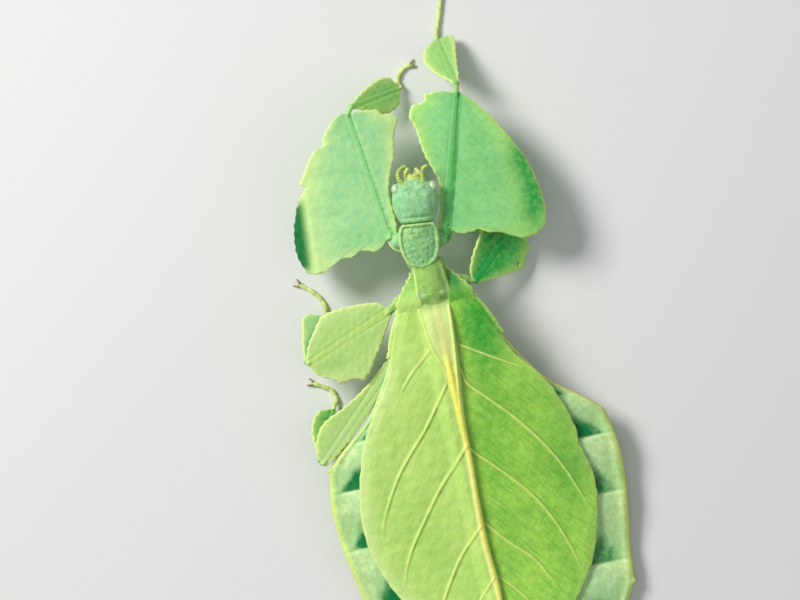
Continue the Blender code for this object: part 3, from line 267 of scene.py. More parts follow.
# Legs: where coxa, hip, knee, shin and ankle are, and how the toes run along the floor from the ankle
PLAIN_LEG = {"mirror": 1, "reach": 1.0, "roll": 0.0, "droop": 0.0, "hem": (), "line": 0.0, "holes": ()}
LEG_KINDS = {
    "fore": {"shaft": (0.85, 0.55), "coxa_radius": 1.25, "grid": (84, 210), "slot": "lobe_green"},
    "mid": {
        "shaft": (0.7, 0.5), "coxa_radius": 0.95, "grid": (64, 150), "slot": "lime_green",
        "femur": MID_FEMUR, "tibia": MID_TIBIA,
    },
    "hind": {
        "shaft": (0.65, 0.5), "coxa_radius": 0.95, "grid": (64, 150), "slot": "lime_green",
        "femur": HIND_FEMUR, "tibia": HIND_TIBIA,
    },
}
LEGS = {
    "fore_left": {
        "joints": (
            (2.0, -11.4, 9.6), (5.3, -13.4, 9.9), (7.8, -37.1, 9.4), (7.0, -38.2, 8.9), (-2.0, -39.7, 1.7),
        ),
        "toes": ((-2.4, -41.0), (-3.0, -42.3), (-4.1, -43.2), (-5.5, -43.5)),
        "femur": FORE_FEMUR_LEFT, "tibia": FORE_TIBIA_LEFT, "droop": 1.2,
        "hem": ((-0.09, 14.6), (0.56, 11.6)),
    },
    "fore_right": {
        "joints": (
            (-1.2, -10.6, 9.6), (-4.5, -11.9, 9.9), (-12.2, -36.5, 9.6), (-12.5, -37.8, 9.1),
            (-11.1, -46.6, 1.7),
        ),
        "toes": ((-11.3, -48.2), (-12.2, -50.6), (-13.1, -53.0), (-13.6, -54.6)),
        "femur": FORE_FEMUR_RIGHT, "tibia": FORE_TIBIA_RIGHT, "droop": 1.0, "line": 0.95,
    },
    "mid_left": {
        "joints": ((2.0, -4.0, 8.6), (8.3, -0.9, 8.0), (24.9, 5.2, 7.6), (25.2, 5.0, 5.7), (20.4, -2.2, 1.6)),
        "toes": ((19.6, -3.9), (20.1, -5.7), (21.4, -7.5), (23.4, -9.2)),
        "droop": 0.6,
    },
    "mid_right": {
        "joints": (
            (-2.0, -4.2, 8.6), (-7.6, -2.6, 7.8), (-18.2, -12.0, 3.7), (-18.2, -12.3, 2.1),
            (-9.6, -11.9, 1.5),
        ),
        "toes": ((-8.3, -12.6), (-7.6, -14.2), (-7.7, -16.4), (-8.2, -18.2)),
        "mirror": -1, "reach": 0.85, "roll": 30.0, "droop": 0.4, "holes": ((0.56, 6.2, 0.45),),
    },
    "hind_left": {
        "joints": (
            (3.6, 4.4, 7.7), (9.0, 7.4, 6.15), (26.4, 23.5, 6.15), (26.8, 23.0, 4.3), (22.5, 14.6, 1.6),
        ),
        "toes": ((21.4, 12.6), (21.9, 10.9), (23.3, 9.8), (25.0, 8.8)), "droop": 0.4,
    },
    "hind_right": {
        "joints": (
            (-3.6, 4.4, 7.7), (-9.0, 7.4, 5.8), (-17.0, 29.4, 3.75), (-17.3, 29.2, 1.9), (-14.4, 19.8, 1.4),
        ),
        "toes": ((-13.9, 18.2), (-13.2, 16.4), (-12.2, 14.6), (-11.0, 13.0)),
        "mirror": -1, "reach": 0.8, "droop": 0.3,
    },
}
TOE_HEIGHTS = (0.5, 0.4, 0.4, 0.4)
# The flat lobe at each fore hip: its inner and its outer edge, from the front backwards
COXA_PLATES = {
    "fore_left": (
        ((3.7, -13.6), (3.3, -12.6), (3.2, -11.6), (3.1, -10.7)),
        ((5.4, -14.3), (6.1, -13.6), (5.8, -12.4), (5.2, -11.4), (4.2, -10.7), (3.3, -10.4)),
    ),
    "fore_right": (
        ((-3.4, -13.2), (-3.1, -12.2), (-2.9, -11.2), (-2.7, -10.2)),
        ((-4.6, -13.9), (-5.9, -13.4), (-6.2, -12.4), (-5.6, -11.1), (-4.4, -10.3), (-3.0, -9.9)),
    ),
}
# How deep the colour of these lobes is
COXA_DEPTHS = {"fore_left": 0.0, "fore_right": 0.75}
TARSUS_JOINTS = 5
BEAD_DEPTH = 0.42
TARSUS_RADII = (0.36, 0.42, 0.42, 0.4, 0.36)
CLAW_RADII = (0.26, 0.2, 0.14, 0.07)
CLAW_LENGTH = 1.1
ANKLE_RADIUS = 0.42

# What the skin's grain gives, and how deep light goes into it, in metres, with its red, green and blue
SKIN_VALUES = ("Tone", "Mottle", "Streaks", "Net", "Dots", "Relief")
SOFT_DEPTH, SOFT_RADIUS = 0.0012, (0.6, 1.0, 0.25)

# Colours as screen values of 0 to 255
MINT, MINT_DEEP, MINT_SPOT = (170, 218, 162), (96, 174, 106), (34, 116, 62)
GRAIN_PALE = (196, 226, 176)
THORAX, THORAX_DEEP = (168, 208, 106), (112, 172, 72)
SHIELD, SHIELD_DEEP = (172, 220, 136), (56, 148, 100)
LIME, LEE_GREEN, DOT_OLIVE = (186, 214, 120), (84, 150, 52), (92, 140, 54)
FEELER, FEELER_DARK, MOUTH = (200, 216, 112), (122, 152, 62), (222, 230, 140)
FOOT, FOOT_DARK = (220, 234, 150), (150, 182, 88)
RIM_YELLOW, VEIN_YELLOW = (226, 240, 150), (232, 246, 136)
RIB_CREAM, RIB_PALE = (254, 249, 112), (244, 240, 184)
FIELD_CREAM, FIELD_PINK = (220, 236, 148), (248, 224, 150)
FIELD_GREEN, FIELD_SHADE = (186, 220, 130), (132, 182, 90)
WING_LEFT_TONES = ((200, 232, 120), (146, 208, 86), (224, 242, 166))
WING_RIGHT_TONES = ((172, 224, 84), (44, 162, 46), (196, 232, 124))
MARGIN, MARGIN_EDGE, MARGIN_RIM = (220, 248, 184), (234, 254, 172), (224, 240, 84)
# The band's green is painted shade towards each segment's rear
MARGIN_TONE, MARGIN_NET, MARGIN_BAND_SHADE = (140, 200, 120), (98, 170, 98), (120, 196, 114)
MARGIN_MOTTLE, MARGIN_SEAM = (112, 188, 112), (204, 224, 168)
# The emerald is partly the margins' own colour and partly painted shade
EMERALD_SHADE, RUST = (0, 122, 58), (216, 168, 98)
EYE_PALE, EYE_GREEN = (206, 226, 184), (140, 182, 124)
CLAW_AMBER, CLAW_TIP = (176, 166, 84), (104, 78, 38)
# The second of these, pale and bluish, is a painted highlight
OLIVE, PALE_HIGHLIGHT = (100, 146, 62), (206, 232, 190)
# The hem's deep green is painted shade where a lobe's edge curls down
HEM_SHADE_GREEN, SHADE_GREEN, RIM_GREEN = (0, 104, 40), (24, 128, 62), (226, 242, 146)
FLOOR_TONE = (226, 226, 222)

# Colours of each leg, and of a tibia that differs: lobe, deeper lobe, towards the edge, along the shaft
LOBE_TONES = {
    "fore_left": ((156, 214, 152), (104, 186, 108), (216, 238, 150), (138, 204, 122)),
    "fore_left_shin": ((158, 222, 122), (112, 192, 94), (204, 234, 134), (150, 212, 112)),
    "fore_right": ((142, 214, 138), (18, 150, 66), (184, 232, 120), (72, 178, 84)),
    "fore_right_shin": ((150, 198, 112), (104, 172, 86), (192, 220, 132), (126, 184, 98)),
    "mid_left": ((180, 216, 122), (140, 192, 90), (210, 232, 150), (192, 220, 116)),
    "mid_left_shin": ((156, 210, 134), (84, 160, 100), (206, 232, 150), (140, 200, 128)),
    "mid_right": ((44, 200, 92), (0, 142, 60), (206, 255, 128), (46, 188, 86)),
    "hind_left": ((186, 216, 132), (136, 190, 100), (196, 226, 124), (192, 222, 150)),
    "hind_left_shin": ((112, 184, 92), (36, 128, 64), (172, 214, 112), (120, 188, 96)),
    "hind_right": ((132, 190, 96), (72, 152, 72), (152, 204, 110), (170, 200, 96)),
}
# Where a lobe is deeper: (share along, reach, half sizes of both, amount)
DEEP_SPOTS = {
    "fore_left": ((0.05, 4.0, 0.2, 4.0, 0.35), (0.95, 2.0, 0.15, 5.0, 0.4)),
    "fore_right": (
        (0.32, -15.6, 0.26, 3.0, 0.95), (0.62, -12.5, 0.2, 3.0, 0.8), (0.45, -0.8, 0.5, 0.35, 1.0),
        (0.15, 2.0, 0.2, 1.6, 0.5), (0.97, -1.0, 0.08, 4.0, 0.2),
    ),
    "mid_left": ((0.75, 3.0, 0.2, 2.0, 0.4), (0.42, 7.4, 0.014, 0.28, 1.6)),
    "mid_left_shin": ((0.45, 0.8, 0.3, 0.8, 0.5),),
    "mid_right": ((0.62, 3.0, 0.4, 3.2, 0.9), (0.6, -0.5, 0.22, 1.6, 0.5)),
    "hind_left": ((0.5, -2.0, 0.3, 1.2, 0.4),),
    "hind_left_shin": ((0.55, 0.8, 0.35, 0.9, 0.7),),
    "hind_right": ((0.5, 2.0, 0.3, 1.6, 0.5),),
}

# Lamps as (name, place, size, power), the room's light, the floor, and the camera straight above
LAMPS = (
    ("key", (0.40, -0.40, 0.46), 0.26, 5.2), ("fill", (-0.55, 0.25, 0.6), 0.7, 0.8),
    ("top", (0.1, 0.1, 1.1), 0.6, 1.1),
)
ROOM_TONE, ROOM_STRENGTH = (0.9, 0.95, 1.0, 1.0), 0.24
FLOOR_SIZE, FLOOR_ROUGHNESS = 6.0, 0.8
CAMERA_PLACE = (0.00575, -0.01556, 0.908)
CAMERA_TURN = math.radians(167.0)
CAMERA_LENS = 225.0
CAMERA_CLIP = (0.05, 20.0)


def smooth_profile(stations):
    """A smooth function of one number through (position, value) stations, with no overshoot."""
    at, value = np.array(stations, float).T
    rise = np.diff(value) / np.diff(at)
    slope = np.concatenate([[rise[0]], (rise[:-1] + rise[1:]) / 2, [rise[-1]]])
    slope[np.concatenate([[False], rise[:-1] * rise[1:] <= 0, [False]])] = 0.0

    def profile(x):
        x = np.clip(np.asarray(x, float), at[0], at[-1])
        i = np.clip(np.searchsorted(at, x) - 1, 0, len(at) - 2)
        span = at[i + 1] - at[i]
        t = (x - at[i]) / span
        ends = (2 * t**3 - 3 * t**2 + 1) * value[i] + (3 * t**2 - 2 * t**3) * value[i + 1]
        return ends + span * ((t**3 - 2 * t**2 + t) * slope[i] + (t**3 - t**2) * slope[i + 1])

    return profile


def ease(x, start, end):
    """0 at start, 1 at end, and smooth between."""
    t = np.clip((np.asarray(x, float) - start) / (end - start), 0.0, 1.0)
    return t * t * (3 - 2 * t)


def hump(x, middle, half_width):
    """1 at the middle, falling smoothly to nothing well past the half width."""
    return np.exp(-(((np.asarray(x, float) - middle) / half_width) ** 2))


def soft_spots(x, y, spots):
    """Soft patches at the given (x, y, half sizes of both, amount) places."""
    return sum(
        a * np.exp(-(((x - at) / wide) ** 2) - ((y - back) / deep) ** 2) for at, back, wide, deep, a in spots
    )


def bumps(x, y, spots):
    """Low round bumps at the given (x, y, radius, height) places."""
    return sum(h * np.exp(-((x - a) ** 2 + (y - b) ** 2) / r**2) for a, b, r, h in spots)


def ripple(x, y, size, seed, layers=5):
    """Smooth seeded unevenness between about -1 and 1, with bumps of about the given size."""
    source = np.random.default_rng(seed)
    total = np.zeros_like(np.asarray(x, float))
    for _ in range(layers):
        angle, phase = source.uniform(0, 2 * math.pi), source.uniform(0, 2 * math.pi)
        reach = 2 * math.pi / (size * source.uniform(0.7, 1.5))
        total += np.sin(reach * (x * math.cos(angle) + y * math.sin(angle)) + phase)
    return total / layers * 1.4


body_height = smooth_profile(BODY_HEIGHT_STATIONS)
abdomen_half_width = smooth_profile(ABDOMEN_HALF_WIDTHS)
keel_depth = smooth_profile(KEEL_DEPTHS)
crown_height = smooth_profile(CROWNS)
wing_rise = smooth_profile(WING_RISES)
cream_half_width = smooth_profile(CREAM_HALF_WIDTHS)


def front_height(station):
    return body_height(np.asarray(station, float) + FRONT_PIVOT[1])


def front_place():
    """Where the head and prothorax stand: turned a little to the insect's right about the neck."""
    return Matrix.Translation((*FRONT_PIVOT, 0.0)) @ Matrix.Rotation(FRONT_YAW, 4, "Z")


def flowing(points, step=0.25):
    """Points about one step apart on a smooth line through the given ones, turning sharply at each TOOTH."""
    line, run = [], []
    for i, p in enumerate(points):
        marked = TOOTH in p
        run.append(np.array([c for c in p if c != TOOTH], float))
        if len(run) > 1 and (marked or i == len(points) - 1):
            line += flowing_run(run, step)
            run = [run[-1]]
    return np.array([*line, run[0]])


def flowing_run(p, step):
    """Points along one smooth stretch of a line, without its last one."""
    padded = [2 * p[0] - p[1], *p, 2 * p[-1] - p[-2]]
    line = []
    for a, b, c, d in zip(padded, padded[1:], padded[2:], padded[3:]):
        count = max(1, round(float(np.linalg.norm(c - b)) / step))
        for t in np.arange(count) / count:
            square, cube = (2 * a - 5 * b + 4 * c - d) * t**2, (3 * b - a - 3 * c + d) * t**3
            line.append(0.5 * (2 * b + (c - a) * t + square + cube))
    return line


def lengths_along(line):
    return np.concatenate([[0.0], np.cumsum(np.linalg.norm(np.diff(line, axis=0), axis=1))])


def at_share(line, share):
    """Points at shares of a line's length."""
    at = lengths_along(line)
    return np.stack([np.interp(share * at[-1], at, line[:, k]) for k in range(line.shape[1])], axis=-1)


def at_station(line, y):
    """The line's x at each station y, for a line that runs backwards all the way."""
    order = np.argsort(line[:, 1], kind="stable")
    return np.interp(y, line[order, 1], line[order, 0])


def distance_to(x, y, line):
    """Shortest distance from each point to a line, its side (1 towards +X) and how far along, 0 to 1."""
    p = np.stack([x, y], axis=-1)
    best, side, share = np.full(len(p), 1e9), np.ones(len(p)), np.zeros(len(p))
    at = lengths_along(line)
    for i, (a, b) in enumerate(zip(line, line[1:])):
        way = b - a
        t = np.clip((p - a) @ way / (way @ way), 0.0, 1.0)
        off = p - a - t[:, None] * way
        far = np.linalg.norm(off, axis=1)
        nearer = far < best
        best = np.where(nearer, far, best)
        side = np.where(nearer, np.sign(off[:, 0]), side)
        share = np.where(nearer, (at[i] + t * (at[i + 1] - at[i])) / at[-1], share)
    return best, side, share


def serrated(line, pitch, depth, out, seed):
    """The line with small uneven teeth that lean forward, out to the left (1) or right (-1) of its way."""
    at = lengths_along(line)
    count = max(2, round(at[-1] / 0.2))
    even = at_share(line, np.linspace(0.0, 1.0, count))
    way = np.gradient(even, axis=0)
    way /= np.linalg.norm(way, axis=1)[:, None]
    aside = np.stack([-way[:, 1], way[:, 0]], axis=-1) * out
    teeth = np.random.default_rng(seed).uniform(0.45, 1.3, int(at[-1] / pitch) + 2)
    place = np.linspace(0.0, at[-1], count) / pitch
    saw = np.minimum((place % 1.0) / 0.7, (1 - place % 1.0) / 0.3)
    size = saw * teeth[place.astype(int)] * depth * ease(np.minimum(place, place[-1] - place), 0.0, 1.5)
    return even + aside * size[:, None]


def joint_line(start, leave, end, arrive, pull, count):
    """A curved line that leaves one point and arrives at another in given directions."""
    line = []
    for t in np.linspace(0.0, 1.0, count):
        a, b = 2 * t**3 - 3 * t**2 + 1, 3 * t**2 - 2 * t**3
        line.append(a * start + b * end + pull * ((t**3 - 2 * t**2 + t) * leave + (t**3 - t**2) * arrive))
    return [tuple(p) for p in line]


# Making pieces


def to_mesh(bm, name, place=None):
    """A mesh in the shared frame, in metres, from one in millimetres of the body's frame."""
    if place is not None:
        bmesh.ops.transform(bm, matrix=place, verts=bm.verts)
    bmesh.ops.remove_doubles(bm, verts=bm.verts, dist=1e-4)
    bmesh.ops.recalc_face_normals(bm, faces=bm.faces)
    bmesh.ops.translate(bm, vec=(-CENTRE[0], -CENTRE[1], 0.0), verts=bm.verts)
    bmesh.ops.scale(bm, vec=(MM, MM, MM), verts=bm.verts)
    mesh = bpy.data.meshes.new(name)
    bm.to_mesh(mesh)
    bm.free()
    return mesh


def new_object(name, data):
    made = bpy.data.objects.new(name, data)
    bpy.context.scene.collection.objects.link(made)
    return made


def piece(name, meshes, material, nodes=()):
    """One visible piece that stands for its CAD nodes, or for the one of its own name."""
    obj = new_object(name, meshes[0])
    for mesh in meshes[1:]:
        bm = bmesh.new()
        bm.from_mesh(obj.data)
        bm.from_mesh(mesh)
        bm.to_mesh(obj.data)
        bm.free()
    obj.data.materials.clear()
    obj.data.materials.append(material)
    obj.data.shade_smooth()
    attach(obj, "root")
    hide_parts(*(nodes or [name]))


def unit_grid(grid):
    """A flat grid, and how far across and along each of its points is, from 0 to 1."""
    bm = bmesh.new()
    bmesh.ops.create_grid(bm, x_segments=grid[0], y_segments=grid[1], size=0.5)
    flat = np.array([v.co.xy for v in bm.verts])
    return bm, *((flat - flat.min(axis=0)) / np.ptp(flat, axis=0)).T


def sheet(name, grid, lay_out, heights, masks=None, place=None, holes=()):
    """A closed sheet made from a grid. lay_out(u, v) gives x and y, heights(x, y, u, v) the top and bottom.

    u and v run from 0 to 1 across and along. masks(x, y, u, v) gives the numbers kept at every vertex.
    """
    bm, u, v = unit_grid(grid)
    store(bm, {"across": u, "along": v})
    for vert, spot in zip(bm.verts, np.stack(lay_out(u, v), axis=-1)):
        vert.co = (*spot, 0.0)
    for x, y, radius in holes:
        open_hole(bm, Vector((x, y)), radius)
    made = bmesh.ops.extrude_face_region(bm, geom=bm.faces[:], use_keep_orig=True)["geom"]
    lower_verts = {vert for vert in made if isinstance(vert, bmesh.types.BMVert)}
    lower = np.array([vert in lower_verts for vert in bm.verts])
    across, along = (bm.verts.layers.float[key] for key in ("across", "along"))
    u, v = np.array([(vert[across], vert[along]) for vert in bm.verts]).T
    x, y = np.array([vert.co.xy for vert in bm.verts]).T
    top, bottom = heights(x, y, u, v)
    if masks:
        store(bm, masks(x, y, u, v))
    for vert, z in zip(bm.verts, np.where(lower, bottom, top)):
        vert.co.z = z
    return to_mesh(bm, name, place)


def open_hole(bm, centre, radius):
    """Removes the faces within a radius of a point, and draws the edge left to a circle."""
    def off(vert):
        return vert.co.xy - centre

    inner = [f for f in bm.faces if any(off(v).length < radius for v in f.verts)]
    bmesh.ops.delete(bm, geom=inner, context="FACES")
    for vert in bm.verts:
        if vert.is_boundary and off(vert).length < 2.2 * radius:
            vert.co.xy = centre + off(vert).normalized() * radius


def store(bm, masks):
    """Keeps numbers at the vertices for the materials to read."""
    for key, values in masks.items():
        layer = bm.verts.layers.float.new(key)
        for vert, value in zip(bm.verts, np.broadcast_to(values, (len(bm.verts),))):
            vert[layer] = float(value)


def thickness(distance_in):
    """Half the thickness of a membrane, thinning to a rounded edge."""
    full, thin = MEMBRANE / 2, EDGE_THICKNESS / 2
    t = np.clip(distance_in / EDGE_ROUNDING, 0.0, 1.0)
    return thin + (full - thin) * np.sqrt(1 - (1 - t) ** 2)


def fan_out(inner, outer, shift=0.0):
    """A sheet's layout from an inner to an outer line, moved backwards by the shift."""

    def lay_out(u, v):
        near, far = at_share(inner, v), at_share(outer, v)
        x, y = (near + (far - near) * u[:, None]).T
        return x, y + shift

    return lay_out


def rolled(name, grid, surface, masks=None, place=None):
    """A closed round body made from a grid. surface(turn, v) gives x, y and z; turn goes once round."""
    bm, u, v = unit_grid(grid)
    x, y, z = surface(2 * math.pi * u, v)
    if masks:
        store(bm, masks(x, y, z))
    for vert, co in zip(bm.verts, np.stack([x, y, z], axis=-1)):
        vert.co = co
    return to_mesh(bm, name, place)


def squarish(turn, squareness=2.3):
    """Cosine and sine of a squarish oval."""
    c, s = np.cos(turn), np.sin(turn)
    return np.copysign(np.abs(c) ** (2 / squareness), c), np.copysign(np.abs(s) ** (2 / squareness), s)


def tube(name, points, radii, sides=20, step=0.05, place=None, swell=None):
    """A round tube along a smooth line, closed by rounded ends. swell(v, turn) scales its radius."""
    line = flowing(points, step)
    count = len(line)
    centre = at_share(line, np.linspace(0.0, 1.0, count))
    way = np.gradient(centre, axis=0)
    way /= np.linalg.norm(way, axis=1)[:, None]
    aside = np.cross(way, (0.0, 0.0, 1.0))
    aside /= np.maximum(np.linalg.norm(aside, axis=1), 1e-6)[:, None]
    up = np.cross(aside, way)
    at = lengths_along(centre)
    size = smooth_profile(list(zip(np.linspace(0.0, 1.0, len(radii)), radii)))

    def along_line(values, v):
        return np.stack([np.interp(v * at[-1], at, values[:, k]) for k in range(3)], axis=-1)

    def surface(turn, v):
        radius = size(v)
        near_end = np.minimum(v, 1 - v) * at[-1] / radius
        radius = radius * np.sqrt(1 - (1 - np.clip(near_end, 0.0, 1.0)) ** 2)
        if swell:
            radius = radius * swell(v, turn)
        here, across, above = (along_line(values, v) for values in (centre, aside, up))
        return (here + across * (radius * np.cos(turn))[:, None] + above * (radius * np.sin(turn))[:, None]).T

    return rolled(name, (sides, count), surface, None, place)


def lofted(name, grid, sections, lift, shape=None, masks=None, place=None):
    """A round-ended body through cross sections (station, half width, top, bottom)."""
    ordered = sorted(sections)
    width, top, bottom = (smooth_profile([(s[0], s[k]) for s in ordered]) for k in (1, 2, 3))
    front, back = ordered[0][0], ordered[-1][0]

    def surface(turn, v):
        spaced = 0.4 * v + 0.6 * (0.5 - 0.5 * np.cos(math.pi * v))
        y = front + (back - front) * spaced
        near_end = np.clip(np.minimum(y - front, back - y) / ROUND_CAP, 0.0, 1.0)
        shrink = np.sqrt(1 - (1 - near_end) ** 2)
        c, s = squarish(turn)
        half = (top(y) - bottom(y)) / 2
        x = c * width(y) * shrink
        z = (top(y) + bottom(y)) / 2 + s * half * shrink + lift(y)
        return shape(x, y, z, s) if shape else (x, y, z)

    return rolled(name, grid, surface, masks, place)


def ball(name, centre, size, segments, rings, notch=0.0):
    """A round body of the head, its front notched in the middle where a depth is given."""
    bm = bmesh.new()
    bmesh.ops.create_uvsphere(bm, u_segments=segments, v_segments=rings, radius=1.0)
    for v in bm.verts:
        if v.co.y < 0:
            v.co.y *= 1 - notch * math.exp(-((v.co.x / NOTCH_WIDTH) ** 2))
    bmesh.ops.scale(bm, vec=size, verts=bm.verts)
    bmesh.ops.translate(bm, vec=centre, verts=bm.verts)
    return to_mesh(bm, name, front_place())


# Head and prothorax


def head_shape(x, y, z, s):
    """Bumps, a faint middle furrow and side furrows on the crown, and a brow between the eyes."""
    upper = np.clip(s, 0.0, 1.0)
    z = z + upper * bumps(x, y, HEAD_BUMPS)
    z = z - upper * 0.14 * hump(x, 0.0, 0.28) * ease(y, -13.5, -10.0)
    z = z - upper * 0.16 * hump(np.abs(x), 3.0, 0.4) * ease(y, -13.4, -11.5)
    z = z + upper * 0.22 * hump(y, -13.9, 0.3) * (1 - hump(x, 0.0, 0.5))
    z = z - upper * 0.25 * hump(y, -8.6, 0.3)
    return x, y, z + upper * 0.03 * ripple(x, y, 1.1, 3)


def head():
    skull = lofted("head", HEAD_GRID, HEAD_SECTIONS, front_height, head_shape, None, front_place())
    piece("head", [skull], body_material("head_skin", MINT, MINT_DEEP))


def eyes():
    """Pale domed eyes, faceted finely by their material."""
    x, y, z = EYE_PLACE
    for name, side in (("eye_left", 1), ("eye_right", -1)):
        centre = (side * x, y, z + float(front_height(y)))
        lens = ball(name, centre, EYE_SIZE, segments=48, rings=32)
        piece(name, [lens], eye_material())


def beads(joints, depth):
    """Swells a tube into joints, each wider at its far end."""

    def swell(v, turn):
        phase = (v * joints) % 1.0
        return 1 - depth * (1 - np.sqrt(np.clip(1 - (2 * phase - 1.05) ** 2 * 0.9, 0.0, 1.0)))

    return swell


def antennae():
    skin = small_material("feeler_skin", FEELER, FEELER_DARK)
    for name, path in (("antenna_left", ANTENNA_LEFT), ("antenna_right", ANTENNA_RIGHT)):
        line = [(x, y, z + float(front_height(y))) for x, y, z in path]
        # The root is set a little into the head
        line[0] = (line[0][0] * 0.9, line[0][1] + 0.3, line[0][2] - 0.1)
        joints = beads(ANTENNA_JOINTS, BEAD_DEPTH)
        mesh = tube(name, line, ANTENNA_RADII, sides=24, step=0.04, place=front_place(), swell=joints)
        piece(name, [mesh], skin)


def mouthparts():
    """Labrum with a notch, jaws below it, and two pairs of jointed palps."""
    lift = float(front_height(-16.0))
    meshes = [
        ball(name, (x, y, z + lift), size, segments=40, rings=28, notch=notch)
        for name, x, y, z, size, notch in MOUTH_PARTS
    ]
    for path, side in zip(PALPS, (1, -1)):
        inner = [(side * x, y, z) for x, y, z in INNER_PALP]
        for line, radii, sides, joints in (
            (path, PALP_RADII, 20, beads(4, depth=0.35)), (inner, INNER_PALP_RADII, 16, beads(3, depth=0.3)),
        ):
            raised = [(x, y, z + lift) for x, y, z in line]
            meshes.append(tube("palp", raised, radii, sides, place=front_place(), swell=joints))
    look = small_material("mouth_skin", MOUTH, FEELER_DARK)
    piece("mouthparts", meshes, look)


def pronotum():
    """The prothorax with its raised, rimmed shield."""
    left = flowing(SHIELD_EDGE, 0.1)
    front, back = SHIELD_EDGE[0][1], SHIELD_BACK

    def from_edge(x, y):
        return np.minimum(distance_to(np.abs(x), y, left[::2])[0], y - front)

    def lay_out(u, v):
        y = front + (back - front) * np.sin(math.pi / 2 * v)
        half = at_station(left, y) + 0.05 * np.abs(np.sin(2.6 * y)) * ease(y, -7.0, -6.0)
        return half * (2 * u - 1), y

    def heights(x, y, u, v):
        edge = from_edge(x, y)
        rim = 0.24 * hump(edge, 0.3, 0.26) - 0.12 * hump(edge, 0.85, 0.3)
        top = front_height(y) + 2.5 - 0.055 * x * x + rim * (1 - 0.6 * ease(y, -1.0, 0.6))
        top += bumps(x, y, SHIELD_BUMPS) + 0.04 * ripple(x, y, 0.9, 8) - 0.45 * (1 - ease(edge, 0.0, 0.22))
        return top, front_height(y) + 1.2 - 0.055 * x * x

    def masks(x, y, u, v):
        return {"rim": 0.6 * hump(from_edge(x, y), 0.12, 0.25)}

    shield = sheet("shield", SHIELD_GRID, lay_out, heights, masks, front_place())
    body = lofted("prothorax", PROTHORAX_GRID, PROTHORAX_SECTIONS, front_height, None, None, front_place())
    look = body_material("shield_skin", SHIELD, SHIELD_DEEP, blotch=0.62)
    piece("pronotum", [shield, body], look)


# Thorax, abdomen and wing covers


def flange_mesh(edge, side, level):
    """The thin toothed plate along one side of the thorax."""
    inner_x = edge[0][0]
    line = flowing([(side * p[0], *p[1:]) for p in edge[1:-1]], 0.2)
    outer = serrated(line, pitch=0.8, depth=0.2, out=side, seed=5)

    def lay_out(u, v):
        far = at_share(outer, v)
        near = np.stack([np.full_like(v, side * inner_x), far[:, 1]], axis=-1)
        return (near + (far - near) * u[:, None]).T

    def heights(x, y, u, v):
        middle = body_height(y) + level(x, y) + 0.05 * ripple(x, y, 1.6, 11)
        half = thickness((1 - u) * np.abs(at_share(outer, v)[:, 0] - side * inner_x))
        half = np.minimum(half, thickness(outer[:, 1].max() - y))
        return middle + half, middle - half

    def masks(x, y, u, v):
        return {
            "rim": hump(1 - u, 0.0, 0.3 / (np.abs(at_share(outer, v)[:, 0]) - inner_x)),
            "rear_left": ease(y, -4.5, -1.2) * (x > 0),
            "rear_right": ease(y, -4.5, -0.5) * (x < 0),
            "shade": 0.85 * hump(y, -3.8, 2.3) * ease(-x, 2.6, 3.0) * (1 - ease(-x, 4.2, 6.6)),
        }

    return sheet("flange", FLANGE_GRID, lay_out, heights, masks)


def thorax_shape(x, y, z, s):
    """A pale ridge along each side that runs on into the wing's vein, and a low dome between them."""
    upper, wide = np.clip(s, 0.0, 1.0), np.abs(x)
    z = z + upper * (0.26 * hump(wide, side_ridge(y), 0.24) + 0.12 * hump(x, 0.0, 1.2))
    z = z - upper * 0.1 * hump(wide, side_ridge(y) - 0.7, 0.35)
    return x, y, z + upper * (0.05 * ripple(x, y, 1.2, 21) - 0.2 * hump(y, -2.4, 0.25) * hump(wide, 1.6, 0.9))


def side_ridge(y):
    return 2.55 + 0.45 * ease(y, -6.5, -1.5)


def mesothorax_level(x, y):
    """How high the mesothorax's flange is: it rises to the wing cover behind it and sinks at the edge."""
    rise = 2.05 * ease(y, -6.5, -1.4) - 0.3 * ease(y, -1.2, 0.9)
    return rise - 0.5 - 0.08 * np.maximum(0.0, np.abs(x) - 3.0)


def metathorax_level(x, y):
    return 0.85 + 0.55 * ease(y, -0.8, 4.0) - 0.07 * np.maximum(0.0, np.abs(x) - 5.0)


def thorax_masks(x, y, z):
    """Where the thorax has painted shade, pale rims, olive spots, painted highlights or the wing covers'
    colours.
    """
    wide = np.abs(x)
    return {
        "shade": 0.3 * ease(-x, 0.6, 2.0) * ease(y, -7.0, -5.0) * (1 - ease(y, -4.0, -2.6)),
        "rim": hump(wide, side_ridge(y), 0.2) * ease(z, 9.5, 11.5) * ease(y, -8.0, -6.0),
        "olive": hump(y, -1.1, 0.6) * hump(np.abs(x - 0.2), 1.5, 0.8) * ease(z, 9.0, 10.5),
        # Painted highlights: pale bluish spots of light on the thorax's rear
        "frost": hump(y, -2.3, 0.6) * hump(np.abs(x - 0.1), 1.8, 0.5) * ease(z, 9.0, 10.5),
        "rear_left": ease(y, -3.6, -0.6) * (x > 0.5) * ease(x, 2.6, 3.2),
        "rear_right": ease(y, -3.0, -0.2) * ease(-x, 3.0, 3.4),
        "field": ease(y, -1.6, 0.0) * (1 - ease(wide, 2.6, 3.2)),
    }


def thorax():
    """Mesothorax and metathorax in one, with the toothed flanges along both sides."""
    meshes = [
        lofted("mesothorax", MESOTHORAX_GRID, MESOTHORAX_SECTIONS, body_height, thorax_shape, thorax_masks),
        lofted("metathorax", METATHORAX_GRID, METATHORAX_SECTIONS, body_height),
    ]
    for edge, level in ((MESOTHORAX_FLANGE, mesothorax_level), (METATHORAX_FLANGE, metathorax_level)):
        meshes += [flange_mesh(edge, side, level) for side in (1, -1)]
    look = body_material("thorax_skin", THORAX, THORAX_DEEP)
    piece("thorax", meshes, look, ["mesothorax", "metathorax"])


